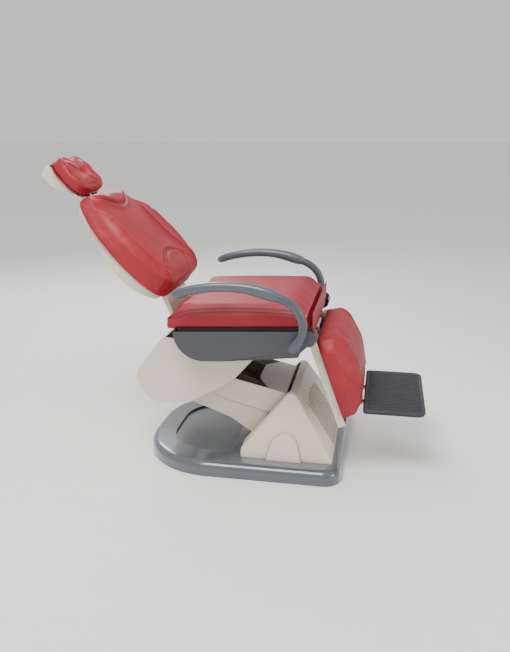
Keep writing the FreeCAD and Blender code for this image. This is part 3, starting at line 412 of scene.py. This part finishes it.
# ------------------------------------------------------------------ geometry node trees
class NodeTool:
    """A geometry node tree with named inputs, run once on an object."""

    def __init__(self, name: str, inputs: dict[str, tuple[str, object]]) -> None:
        """Make the tree and its sockets.

        Args:
            name: the tree's name.
            inputs: input names with their socket type and value.
        """
        self.tree = bpy.data.node_groups.new(name, "GeometryNodeTree")
        face = self.tree.interface
        face.new_socket("Geometry", in_out="INPUT", socket_type="NodeSocketGeometry")
        self.values = {}
        for label, (kind, value) in inputs.items():
            socket = face.new_socket(label, in_out="INPUT", socket_type=kind)
            self.values[socket.identifier] = value
        face.new_socket("Geometry", in_out="OUTPUT", socket_type="NodeSocketGeometry")
        self.inlet = self.tree.nodes.new("NodeGroupInput")

    def feed(self, label: str) -> bpy.types.NodeSocket:
        """Output socket of one named input."""
        return self.inlet.outputs[label]

    def run(self, item: bpy.types.Object, instances: bpy.types.NodeSocket,
            finish: Finish) -> bpy.types.Object:
        """Close the tree, run it on an object and leave a plain mesh.

        Args:
            item: the object that holds the starting mesh.
            instances: the socket that gives the instances.
            finish: what the instances are made of.

        Returns:
            The same object with the resulting mesh.
        """
        real = add(self.tree, "GeometryNodeRealizeInstances", {}, {"Geometry": instances})
        dress = add(self.tree, "GeometryNodeSetMaterial", {"Material": finish.material()},
                    {"Geometry": real.outputs["Geometry"]})
        add(self.tree, "NodeGroupOutput", {}, {"Geometry": dress.outputs["Geometry"]})
        modifier = item.modifiers.new("tool", "NODES")
        modifier.node_group = self.tree
        for identifier, value in self.values.items():
            modifier[identifier] = value
        return settle(item)


def stitches(name: str, runs: Iterable[np.ndarray], body: Body) -> None:
    """Rows of stitches that follow polylines on a cushion.

    Args:
        name: the piece's name.
        runs: polylines in the chair's frame, in metres.
        body: the body that the cushion rides on.
    """
    points, edges = [], []
    for run in runs:
        first = len(points)
        points += [tuple(p) for p in run]
        edges += [(first + n, first + n + 1) for n in range(len(run) - 1)]
    mesh = bpy.data.meshes.new(name)
    mesh.from_pydata(points, edges, [])
    item = link(name, mesh, THREAD)
    tool = NodeTool(f"{name}_tree", {
        "Pitch": ("NodeSocketFloat", 0.009), "Length": ("NodeSocketFloat", 0.0062),
        "Thread radius": ("NodeSocketFloat", 0.0009)})
    curve = add(tool.tree, "GeometryNodeMeshToCurve", {}, {"Mesh": tool.feed("Geometry")})
    spots = add(tool.tree, "GeometryNodeCurveToPoints", {"mode": "LENGTH"},
                {"Curve": curve.outputs["Curve"], "Length": tool.feed("Pitch")})
    turn = add(tool.tree, "FunctionNodeAlignRotationToVector", {"axis": "Z"},
               {"Vector": spots.outputs["Tangent"]})
    thread = add(tool.tree, "GeometryNodeMeshCylinder", {"Vertices": 6},
                 {"Radius": tool.feed("Thread radius"), "Depth": tool.feed("Length")})
    placed = add(tool.tree, "GeometryNodeInstanceOnPoints", {},
                 {"Points": spots.outputs["Points"], "Instance": thread.outputs["Mesh"],
                  "Rotation": turn.outputs["Rotation"]})
    tool.run(item, placed.outputs["Instances"], THREAD)
    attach(item, body.value)
    LOG.info("%s: %d faces", name, len(item.data.polygons))


# ------------------------------------------------------------------ upholstery
@dataclass
class Cushion:
    """A padded cushion: remeshed from its solid, swollen by pressure, then sewn.

    Attributes:
        node: the solid that it stands for, which also names it.
        body: the body that it rides on.
        axes: its own frame.
        relief: rise along the frame's first axis and painted seam shade, from local places.
        seams: sewn lines as (left, along) corners in millimetres.
        voxel_mm: size of the remesh.
        cap_mm: most that the pressure may move a point.
        shrink_mm: how much smaller it starts.
        fill: how full it is; not used.
        fixed_mm: depth at its back that stays on the board.
        skirt_mm: how far its lower edge is pulled down past the board's face.
        fit: change of the local places that gives the cut of the cover, if any.
    """

    node: str
    body: Body
    axes: Axes
    relief: Relief
    seams: list[np.ndarray] = field(default_factory=list)
    voxel_mm: float = 6.0
    cap_mm: float = 9.0
    shrink_mm: float = 4.0
    fill: float = 0.8
    fixed_mm: float = 12.0
    skirt_mm: float = 5.0
    fit: Callable[[np.ndarray], np.ndarray] | None = None

    def start(self) -> bpy.types.Object:
        """Copy the solid, remesh it and make it slightly smaller.

        Returns:
            The unswollen cover.
        """
        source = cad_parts[self.node].data.copy()
        work = bmesh.new()
        work.from_mesh(source)
        bmesh.ops.remove_doubles(work, verts=work.verts, dist=1e-5)
        work.to_mesh(source)
        work.free()
        item = link(f"{self.node}_cover", source, LEATHER)
        remesh = item.modifiers.new("remesh", "REMESH")
        remesh.mode = "VOXEL"
        remesh.voxel_size = self.voxel_mm * MM
        settle(item)
        relax(item.data, times=3, inwards_mm=self.shrink_mm)
        if self.fit:
            write(item.data, self.axes.outward(self.fit(self.axes.inward(read(item.data)))))
        return item

    def swell(self, item: bpy.types.Object) -> None:
        """Blow the cover up by cloth pressure, and cap how far each point moves.

        Args:
            item: the unswollen cover, changed in place.
        """
        rest = read(item.data)
        local = self.axes.inward(rest)
        held = item.vertex_groups.new(name="held")
        low = local[:, 0].min() + self.fixed_mm
        held.add([int(n) for n in np.nonzero(local[:, 0] < low)[0]], 1.0, "REPLACE")
        cloth = item.modifiers.new("cloth", "CLOTH")
        cloth.settings.quality = 4
        cloth.settings.mass = 0.3
        cloth.settings.tension_stiffness = 12
        cloth.settings.compression_stiffness = 12
        cloth.settings.bending_stiffness = 0.6
        cloth.settings.use_pressure = True
        cloth.settings.uniform_pressure_force = 4.0
        cloth.settings.vertex_group_mass = "held"
        cloth.settings.effector_weights.gravity = 0.0
        cloth.collision_settings.use_collision = False
        scene = bpy.context.scene
        for number in range(1, 21):
            scene.frame_set(number)
        moved = read(baked(item)) - rest
        item.modifiers.clear()
        item.vertex_groups.clear()
        scene.frame_set(1)
        length = np.linalg.norm(moved, axis=1)
        scale = np.minimum(1.0, self.cap_mm * MM / np.maximum(length, 1e-9))
        write(item.data, rest + moved * scale[:, None])
        relax(item.data, times=5)

    def sew(self, item: bpy.types.Object) -> None:
        """Shape the soft side, press the seams in and paint shade into their grooves.

        Args:
            item: the cover, changed in place.
        """
        local = self.axes.inward(read(item.data))
        rise, dark = self.relief(local)
        middle = (local[:, 0].min() + local[:, 0].max()) / 2
        soft_side = step(local[:, 0], middle - 8, middle + 18)
        for line in self.seams:
            away = to_line(local[:, 1:], line)
            groove = np.exp(-(away / 5.0) ** 2)
            rise = rise - 4.0 * groove + 1.6 * np.exp(-((away - 13) / 7.0) ** 2)
            # Painted shade along the bottom of each seam groove.
            dark = np.maximum(dark, np.exp(-(away / 2.6) ** 2) * soft_side)
        local[:, 0] += rise * soft_side
        low = local[:, 0].min()
        floor = self.axes.inward(read(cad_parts[self.node].data))[:, 0].min() - self.skirt_mm
        local[:, 0] += (floor - low) * (1 - step(local[:, 0], low + 4, middle))
        write(item.data, self.axes.outward(local))
        # Stores the painted seam shade that the leather's material reads.
        tone = item.data.attributes.new("seam", "FLOAT", "POINT")
        tone.data.foreach_set("value", (np.clip(dark, 0, 1) * SEAM_SHADE_STRENGTH).astype(np.float32))

    def lay(self, item: bpy.types.Object) -> list[np.ndarray]:
        """Lay the seam lines on the finished cover, along the bottom of each groove.

        Args:
            item: the finished cover.

        Returns:
            One polyline for each seam that meets the cover, in metres.
        """
        mesh = item.data
        tree = BVHTree.FromPolygons([v.co.copy() for v in mesh.vertices],
                                    [tuple(p.vertices) for p in mesh.polygons])
        toward = -Vector(self.axes.out)
        laid = []
        for line in self.seams:
            places = self.axes.outward(np.column_stack([np.full(len(line), 220.0), line]))
            found = [tree.ray_cast(Vector(p), toward)[0] for p in places]
            run = [np.array(p) for p in found if p is not None]
            if len(run) > 2:
                laid.append(np.array(run))
        return laid

    def build(self) -> None:
        """Make the cushion, dress it and tie it to its body."""
        item = self.start()
        self.swell(item)
        smooth = item.modifiers.new("smooth", "SUBSURF")
        smooth.levels = smooth.render_levels = 1
        settle(item)
        self.sew(item)
        item.data.polygons.foreach_set("use_smooth", [True] * len(item.data.polygons))
        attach(item, self.body.value)
        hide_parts(self.node)
        LOG.info("%s: %d faces", item.name, len(item.data.polygons))
        if self.seams:
            stitches(f"{self.node}_stitches", self.lay(item), self.body)


def curve(function: Callable[[float], tuple[float, float]], count: int = 40) -> np.ndarray:
    """Corners of a curve given for a share from zero to one."""
    return np.array([function(n / (count - 1)) for n in range(count)])


def straight(start: tuple[float, float], end: tuple[float, float]) -> np.ndarray:
    """Corners along a straight sewn line."""
    return curve(lambda t: (start[0] + (end[0] - start[0]) * t, start[1] + (end[1] - start[1]) * t))


class Upholstery:
    """The four cushions and the knee flap."""

    @staticmethod
    def back_relief(local: np.ndarray) -> tuple[np.ndarray, np.ndarray]:
        """Side bolsters that stand above a gently crowned middle panel."""
        side, up = np.abs(local[:, 1]), local[:, 2]
        edge = 152 + 22 * step(up, 140, 330)
        inner = 1 - step(side - edge, -14, 20)
        smile = up - 471 - 46 * np.minimum(side / 116, 1.1) ** 2
        panel = inner * step(up, 90, 150) * (1 - step(smile, -44, 34))
        rim = (4.0 + 7.0 * step(up, 180, 500)) * (1 - panel)
        middle = -9.0 * panel + 8.0 * panel * np.cos(np.clip(local[:, 1] / 150, -1, 1) * 1.5)
        lumbar = 5.0 * np.exp(-((up - 195) / 50) ** 2) * inner
        bolster = 7.0 * np.exp(-((side - edge - 34) / 24) ** 2) * step(up, 110, 190)
        crease = -1.8 * np.exp(-((side - edge - 56) / 4) ** 2) * (1 - step(up, 430, 520))
        return rim + middle + lumbar + bolster + crease, np.zeros(len(local))

    @staticmethod
    def back_fit(local: np.ndarray) -> np.ndarray:
        """A slightly wider and longer cut."""
        wider = local.copy()
        wider[:, 1] *= 1.03 + 0.13 * np.exp(-((local[:, 2] - 440) / 95) ** 2)
        wider[:, 2] = 330 + (local[:, 2] - 330) * 1.045
        return wider

    @staticmethod
    def seat_fit(local: np.ndarray) -> np.ndarray:
        """Cut out to the edge of the board all round."""
        wider = local.copy()
        wider[:, 1] *= 1.022
        wider[:, 2] = -10 + (local[:, 2] + 10) * 1.024
        return wider

    @staticmethod
    def leg_fit(local: np.ndarray) -> np.ndarray:
        """Wider than its board below the knee, fuller, and carried up towards the seat."""
        wider = local.copy()
        wider[:, 0] = 16 + (local[:, 0] - 16) * 1.16
        wider[:, 1] *= 1.0 + 0.14 * step(local[:, 2], 18, 74)
        wider[:, 2] = 296 + (local[:, 2] - 296) * 1.05
        return wider

    @staticmethod
    def flap_fit(local: np.ndarray) -> np.ndarray:
        """Carried up the seat's front and out to its sides."""
        wider = local.copy()
        wider[:, 0] += 2.5
        wider[:, 1] *= 1.24
        wider[:, 2] = -20 + (local[:, 2] + 20) * 2.1
        return wider

    @staticmethod
    def head_fit(local: np.ndarray) -> np.ndarray:
        """A little narrower than its shell."""
        slim = local.copy()
        slim[:, 1] *= 0.95
        slim[:, 2] = 650 + (local[:, 2] - 650) * 0.95
        return slim

    @staticmethod
    def seat_relief(local: np.ndarray) -> tuple[np.ndarray, np.ndarray]:
        """A crowned seat with shallow lengthwise folds."""
        left, along = local[:, 1], local[:, 2]
        crown = 9.0 * np.cos(np.clip(left / 275, -1, 1) * 1.5) * np.cos(
            np.clip((along + 10) / 250, -1, 1) * 1.45)
        side = np.abs(left)
        folds = 1.0 * np.sin((side - 40) / 19.0 + along / 170) * step(side, 90, 150)
        roll = -22.0 * step(along, 150, 240) ** 1.5 - 16.0 * step(-along, 170, 256) ** 1.4
        corner = -16.0 * step(np.hypot(np.maximum(side - 150, 0), np.maximum(-along - 130, 0)),
                              95, 165)
        edge = -9.0 * step(side, 215, 276)
        return (crown + folds * (1 - step(side, 235, 262)) + roll + corner + edge,
                np.zeros(len(local)))

    @staticmethod
    def leg_relief(local: np.ndarray) -> tuple[np.ndarray, np.ndarray]:
        """A leg cushion that is fullest at the calf, with bevelled sides."""
        left, along = local[:, 1], local[:, 2]
        crown = 5.0 * np.cos(np.clip(left / 205, -1, 1) * 1.5)
        bevel = -13.0 * step(np.abs(left), 190, 246)
        return crown + bevel + 3.0 * np.exp(-((along - 150) / 80) ** 2), np.zeros(len(local))

    @staticmethod
    def head_relief(local: np.ndarray) -> tuple[np.ndarray, np.ndarray]:
        """Side bolsters and a buttoned middle, with painted shade in the button's dimple."""
        side, up = np.abs(local[:, 1]), local[:, 2]
        hollow = -7.0 * (1 - step(side, 62, 88)) * (1 - step(np.abs(up - 648), 50, 78))
        reach = np.hypot(local[:, 1], up - 646)
        cross = np.minimum(np.abs(side - 1.25 * (up - 646)), np.abs(side + 1.25 * (up - 646)))
        folds = 5.0 * np.exp(-(cross / 15) ** 2) * step(reach, 10, 40) * (1 - step(reach, 70, 100))
        button = -11.0 * np.exp(-(reach / 14) ** 2)
        # Painted shade: the second value darkens the button's dimple.
        return hollow + folds + button, 0.7 * np.exp(-(reach / 6.0) ** 2)

    @staticmethod
    def plain(local: np.ndarray) -> tuple[np.ndarray, np.ndarray]:
        """A soft vertical fold along the flap."""
        return 1.2 * np.sin(local[:, 1] / 60), np.zeros(len(local))

    def build(self) -> None:
        """Make every cushion in turn."""
        back_seams = [straight((side * 168, 128), (side * 170, 486)) for side in (-1, 1)]
        for drop, half in ((0, 116), (9, 104)):
            back_seams.append(curve(lambda t, d=drop, h=half: (
                h * (2 * t - 1), 471 - d + 46 * (2 * t - 1) ** 2)))
            back_seams.append(curve(lambda t, d=drop, h=half: (
                h * (2 * t - 1), 236 - d - 42 * (2 * t - 1) ** 2)))
        Cushion("back_cushion", Body.BACKREST, BACK, self.back_relief, back_seams,
                fit=self.back_fit).build()
        seat_seams = [curve(lambda t, s=side, w=wide: (
            s * (w - 7 * math.sin(math.pi * t)), -236 + 452 * t))
            for side in (-1, 1) for wide in (262, 252)]
        Cushion("seat_cushion", Body.CARRIAGE, SEAT, self.seat_relief, seat_seams, skirt_mm=6.5,
                fit=self.seat_fit).build()
        leg_seams = [curve(lambda t, s=side: (s * (176 - 10 * math.sin(math.pi * t)), 16 + 272 * t))
                     for side in (-1, 1)]
        Cushion("leg_cushion", Body.LEGREST, LEG, self.leg_relief, leg_seams,
                fit=self.leg_fit).build()
        head_seams = [curve(lambda t, s=side: (s * (84 + 5 * math.sin(math.pi * t)), 584 + 128 * t))
                      for side in (-1, 1)]
        Cushion("headrest_cushion", Body.HEADREST, BACK, self.head_relief, head_seams, voxel_mm=4.0,
                cap_mm=6.0, shrink_mm=3.0, fixed_mm=8.0, skirt_mm=0.0, fit=self.head_fit).build()
        flap = Axes((0.240, 0.0, 0.518), (1.0, 0.0, 0.0), (0.0, 0.0, 1.0))
        Cushion("knee_flap", Body.CARRIAGE, flap, self.plain, voxel_mm=2.5, cap_mm=1.5,
                shrink_mm=0.2, fill=0.3, fixed_mm=2.0, skirt_mm=0.0, fit=self.flap_fit).build()


# ------------------------------------------------------------------ armrests
@dataclass
class Armrest:
    """One armrest: a skinned tube on its pivot, with a fuller grip.

    Attributes:
        side: minus one on the patient's right, plus one on the left.
        spread: distance of its plane from the middle, in millimetres.
        grip: stations (x, z, half height, half width) from the tip forwards.
        stem: the same for the tube, from under the grip to the pivot.
    """

    side: int
    spread: float = 319.0
    grip: tuple[tuple[float, float, float, float], ...] = (
        (-207, 633, 5, 7), (-203, 636, 11, 12), (-190, 643, 15.5, 16), (-165, 653, 17, 18),
        (-130, 662, 17, 18.5), (-80, 670, 16.5, 18.5), (-20, 673.5, 16.5, 18.5),
        (35, 670.5, 17.5, 19), (80, 662, 19.5, 20), (112, 653, 20, 20), (130, 647.5, 18.5, 18.5),
        (139, 644.5, 15.5, 15.5), (141, 644, 11, 11))
    stem: tuple[tuple[float, float, float, float], ...] = (
        (126, 649, 12, 12), (143, 643, 14.2, 14), (160, 636, 14.4, 14), (182, 622, 14.4, 14),
        (202, 600, 14.4, 14), (215, 572, 14.4, 14), (219, 548, 14.2, 14), (216, 524, 14.2, 14),
        (207, 503, 15, 14), (197, 489, 16.5, 13.5), (190, 479, 16.5, 13), (183, 469.5, 13, 11),
        (180, 465.5, 7, 7))
    fine: int = 5
    around: int = 28

    def sweep(self, name: str, stations: Sequence[Sequence[float]], finish: Finish) -> bpy.types.Object:
        """Skin a run of stations with a rounded section.

        Args:
            name: the piece's name.
            stations: (x, z, half height, half width) in millimetres.
            finish: what it is made of.

        Returns:
            The closed piece.
        """
        rows = np.array(stations, float)
        padded = np.vstack([2 * rows[0] - rows[1], rows, 2 * rows[-1] - rows[-2]])
        smooth = []
        for n in range(1, len(padded) - 2):
            for t in np.arange(self.fine) / self.fine:
                a, b, c, d = padded[n - 1:n + 3]
                smooth.append(0.5 * (2 * b + (c - a) * t + (2 * a - 5 * b + 4 * c - d) * t ** 2
                                     + (3 * b - a - 3 * c + d) * t ** 3))
        smooth.append(rows[-1])
        run = np.array(smooth)
        tangent = np.gradient(run[:, :2], axis=0)
        tangent /= np.linalg.norm(tangent, axis=1)[:, None]
        places, faces = [], []
        for (x, z, high, wide), (tx, tz) in zip(run, tangent):
            for k in range(self.around):
                turn = 2 * math.pi * k / self.around
                rise = high * math.copysign(abs(math.cos(turn)) ** 0.88, math.cos(turn))
                out = wide * math.copysign(abs(math.sin(turn)) ** 0.88, math.sin(turn))
                places.append(Vector((x - tz * rise, self.side * self.spread + out,
                                      z + tx * rise)) * MM)
        for row in range(len(run) - 1):
            for k in range(self.around):
                a, b = row * self.around + k, row * self.around + (k + 1) % self.around
                faces.append((a, b, b + self.around, a + self.around))
        last = (len(run) - 1) * self.around
        faces.append(tuple(range(self.around))[::-1])
        faces.append(tuple(range(last, last + self.around)))
        mesh = bpy.data.meshes.new(name)
        mesh.from_pydata(places, [], faces)
        work = bmesh.new()
        work.from_mesh(mesh)
        bmesh.ops.recalc_face_normals(work, faces=work.faces)
        work.to_mesh(mesh)
        work.free()
        return link(name, mesh, finish)

    def build(self) -> None:
        """Make the grip and the stem."""
        word = "right" if self.side < 0 else "left"
        body = Body.ARM_RIGHT if self.side < 0 else Body.ARM_LEFT
        for part, stations, finish, slot in (("grip", self.grip, GRIP, "armrest_grip"),
                                             ("tube", self.stem, STEM, "armrest_metal")):
            node = f"armrest_{word}_{part}"
            item = self.sweep(f"{node}_skin", stations, finish)
            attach(item, body.value)
            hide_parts(node)
            LOG.info("%s: %d faces", item.name, len(item.data.polygons))


# ------------------------------------------------------------------ foot mat
@dataclass
class FootMat:
    """Ribbed rubber mat with a raised rim.

    Attributes:
        rim_mm: width of the rim.
        rib_mm: pitch of the ribs.
        radius_mm: radius of each rib.
    """

    rim_mm: float = 13.0
    rib_mm: float = 13.0
    radius_mm: float = 3.4

    def outline(self, inset: float, corner: float) -> list[tuple[float, float]]:
        """Rounded rectangle of the mat, moved inwards.

        Args:
            inset: how far inwards, in metres.
            corner: corner radius, in metres.

        Returns:
            Corners as (x, y).
        """
        low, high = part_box("foot_mat")
        x0, x1, y0, y1 = low.x + inset, high.x - inset, low.y + inset, high.y - inset
        found = []
        for cx, cy, first in ((x1, y1, 0), (x0, y1, 90), (x0, y0, 180), (x1, y0, 270)):
            radius = corner if cx == x1 else min(corner, 0.012)
            for k in range(9):
                turn = math.radians(first + 90 * k / 8)
                mx = cx - math.copysign(radius, cx - (x0 + x1) / 2)
                my = cy - math.copysign(radius, cy - (y0 + y1) / 2)
                found.append((mx + radius * math.cos(turn), my + radius * math.sin(turn)))
        return found

    def build(self) -> None:
        """Make the mat and its ribs."""
        self.moulding()
        self.ribs()

    def moulding(self) -> None:
        """Make the mat's body and rim from rounded rings."""
        low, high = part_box("foot_mat")
        base, top = low.z, high.z
        rings = [(0.002, base, 0.028), (0.0, base + 0.002, 0.03), (0.0, top - 0.005, 0.03),
                 (0.0015, top - 0.0015, 0.0285), (0.005, top, 0.025),
                 (self.rim_mm * MM - 0.003, top, 0.018),
                 (self.rim_mm * MM, top - 0.0035, 0.016), (self.rim_mm * MM + 0.001, top - 0.005, 0.015)]
        places, faces = [], []
        for inset, z, corner in rings:
            places += [(x, y, z) for x, y in self.outline(inset, corner)]
        count = len(places) // len(rings)
        for row in range(len(rings) - 1):
            for k in range(count):
                a, b = row * count + k, row * count + (k + 1) % count
                faces.append((a, b, b + count, a + count))
        faces.append(tuple(range(count))[::-1])
        faces.append(tuple(range(len(places) - count, len(places))))
        mesh = bpy.data.meshes.new("foot_mat_moulding")
        mesh.from_pydata(places, [], faces)
        item = link("foot_mat_moulding", mesh, RUBBER)
        mesh.polygons.foreach_set("use_smooth", [True] * (len(faces) - 2) + [False] * 2)
        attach(item, Body.FOOTREST.value)
        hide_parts("foot_mat")

    def ribs(self) -> None:
        """Make the row of lengthwise ribs."""
        low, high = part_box("foot_mat")
        wide = high.y - low.y - 2 * self.rim_mm * MM - 0.02
        count = int(wide / (self.rib_mm * MM)) + 1
        seed = bpy.data.meshes.new("foot_mat_ribs")
        seed.from_pydata([(0, 0, 0)], [], [])
        ribs = link("foot_mat_ribs", seed, RUBBER)
        long = high.x - low.x - 2 * self.rim_mm * MM - 0.008
        tool = NodeTool("rib_tree", {
            "Count": ("NodeSocketInt", count), "Radius": ("NodeSocketFloat", self.radius_mm * MM),
            "Length": ("NodeSocketFloat", long),
            "Start": ("NodeSocketVector", ((low.x + high.x) / 2, -(count - 1) / 2 * self.rib_mm * MM,
                                           high.z - 0.0042)),
            "Pitch": ("NodeSocketVector", (0.0, self.rib_mm * MM, 0.0))})
        row = add(tool.tree, "GeometryNodeMeshLine", {}, {
            "Count": tool.feed("Count"), "Start Location": tool.feed("Start"),
            "Offset": tool.feed("Pitch")})
        rib = add(tool.tree, "GeometryNodeMeshCylinder", {"Vertices": 12},
                  {"Radius": tool.feed("Radius"), "Depth": tool.feed("Length")})
        turned = add(tool.tree, "GeometryNodeTransform", {"Rotation": (0.0, math.pi / 2, 0.0)},
                     {"Geometry": rib.outputs["Mesh"]})
        placed = add(tool.tree, "GeometryNodeInstanceOnPoints", {}, {
            "Points": row.outputs["Mesh"], "Instance": turned.outputs["Geometry"]})
        tool.run(ribs, placed.outputs["Instances"], RUBBER)
        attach(ribs, Body.FOOTREST.value)
        LOG.info("foot mat: %d ribs", count)


# ------------------------------------------------------------------ seat shell
@dataclass
class SeatShell:
    """The tray round the seat, whose lower front sides are tucked in below a crease.

    Attributes:
        start: (along, out) where the crease leaves the lower edge, in millimetres.
        end: (along, out) where it reaches the front.
        tuck_mm: how far the lowest front corner goes in.
        edge_mm: radius of the edges; not used.
    """

    start: tuple[float, float] = (-60.0, -103.0)
    end: tuple[float, float] = (192.0, -62.0)
    tuck_mm: float = 44.0
    edge_mm: float = 1.4

    def build(self) -> None:
        """Cut the crease into the shell and tuck the sides in."""
        work = bmesh.new()
        work.from_mesh(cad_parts["seat_shell"].data)
        bmesh.ops.remove_doubles(work, verts=work.verts, dist=1e-5)
        bmesh.ops.dissolve_limit(work, angle_limit=0.02, verts=work.verts, edges=work.edges)
        run = np.array([self.end[0] - self.start[0], self.end[1] - self.start[1]])
        across = np.array([-run[1], run[0]]) / np.linalg.norm(run)
        deepest = -float(np.dot(across, np.array([self.end[0], -103.0]) - np.array(self.start)))
        point = Vector(SEAT.outward(np.array([self.start[1], 0.0, self.start[0]])))
        normal = Vector(SEAT.matrix() @ np.array([across[1], 0.0, across[0]]))
        bmesh.ops.bisect_plane(work, geom=work.verts[:] + work.edges[:] + work.faces[:],
                               plane_co=point, plane_no=normal, dist=1e-6)
        for vertex in work.verts:
            depth = -(vertex.co - point).dot(normal) / MM
            if depth > 0 and abs(vertex.co.y) > 0.2:
                vertex.co.y -= math.copysign(self.tuck_mm * MM * depth / deepest, vertex.co.y)
        bmesh.ops.triangulate(work, faces=[f for f in work.faces if len(f.verts) > 4])
        bmesh.ops.recalc_face_normals(work, faces=work.faces)
        mesh = bpy.data.meshes.new("seat_shell_moulding")
        work.to_mesh(mesh)
        work.free()
        item = link("seat_shell_moulding", mesh, TRAY, smooth=False)
        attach(item, Body.CARRIAGE.value)
        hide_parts("seat_shell")
        LOG.info("%s: %d faces", item.name, len(item.data.polygons))


# ------------------------------------------------------------------ hard parts and stage
class HardParts:
    """The covers, frames and drives, which keep the frame's own shapes."""

    def build(self) -> None:
        """Dress every node in its finish."""
        for finish, nodes in NODE_FINISH.items():
            for node in nodes:
                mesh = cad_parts[node].data
                mesh.materials.clear()
                mesh.materials.append(finish.material())
        LOG.info("hard parts: %d finishes", len(NODE_FINISH))


@dataclass
class Studio:
    """Floor, lights and camera."""

    place: tuple[float, float, float] = (0.45346, -2.41096, 1.15892)
    toward: tuple[float, float, float] = (-0.17557, 0.94496, -0.27609)
    lens: float = 38.03

    def light(self, name: str, place: Sequence[float], size: float, power: float) -> None:
        """One soft square light that faces the seat.

        Args:
            name: its name.
            place: where it stands, in metres.
            size: its side, in metres.
            power: its power, in watts.
        """
        lamp = bpy.data.lights.new(name, "AREA")
        lamp.size = size
        lamp.energy = power
        item = bpy.data.objects.new(name, lamp)
        item.location = place
        item.rotation_euler = (Vector((0, 0, 0.4)) - Vector(place)).to_track_quat("-Z", "Y").to_euler()
        bpy.context.scene.collection.objects.link(item)

    def build(self) -> None:
        """Make the stage."""
        mesh = bpy.data.meshes.new("floor")
        mesh.from_pydata([(-60, -60, 0), (60, -60, 0), (60, 60, 0), (-60, 60, 0)], [], [(0, 1, 2, 3)])
        link("floor", mesh, STUDIO, smooth=False)
        world = bpy.data.worlds.new("studio")
        world.use_nodes = True
        world.node_tree.nodes["Background"].inputs["Color"].default_value = (1, 1, 1, 1)
        world.node_tree.nodes["Background"].inputs["Strength"].default_value = 0.8
        bpy.context.scene.world = world
        self.light("key", (-0.4, -1.6, 3.2), 1.6, 105)
        self.light("side", (3.0, -1.2, 1.4), 1.2, 26)
        self.light("rim", (-1.6, 2.4, 2.4), 1.4, 60)
        data = bpy.data.cameras.new("camera")
        data.lens = self.lens
        camera = bpy.data.objects.new("camera", data)
        camera.location = self.place
        camera.rotation_euler = Vector(self.toward).to_track_quat("-Z", "Y").to_euler()
        bpy.context.scene.collection.objects.link(camera)
        bpy.context.scene.camera = camera


def main() -> None:
    """Build the chair's pieces in order, and report each."""
    logging.basicConfig(level=logging.INFO, format="%(name)s %(message)s")
    for part in (Studio(), HardParts(), Upholstery(), Armrest(-1), Armrest(1), SeatShell(), FootMat()):
        part.build()


if __name__ == "__main__":
    main()
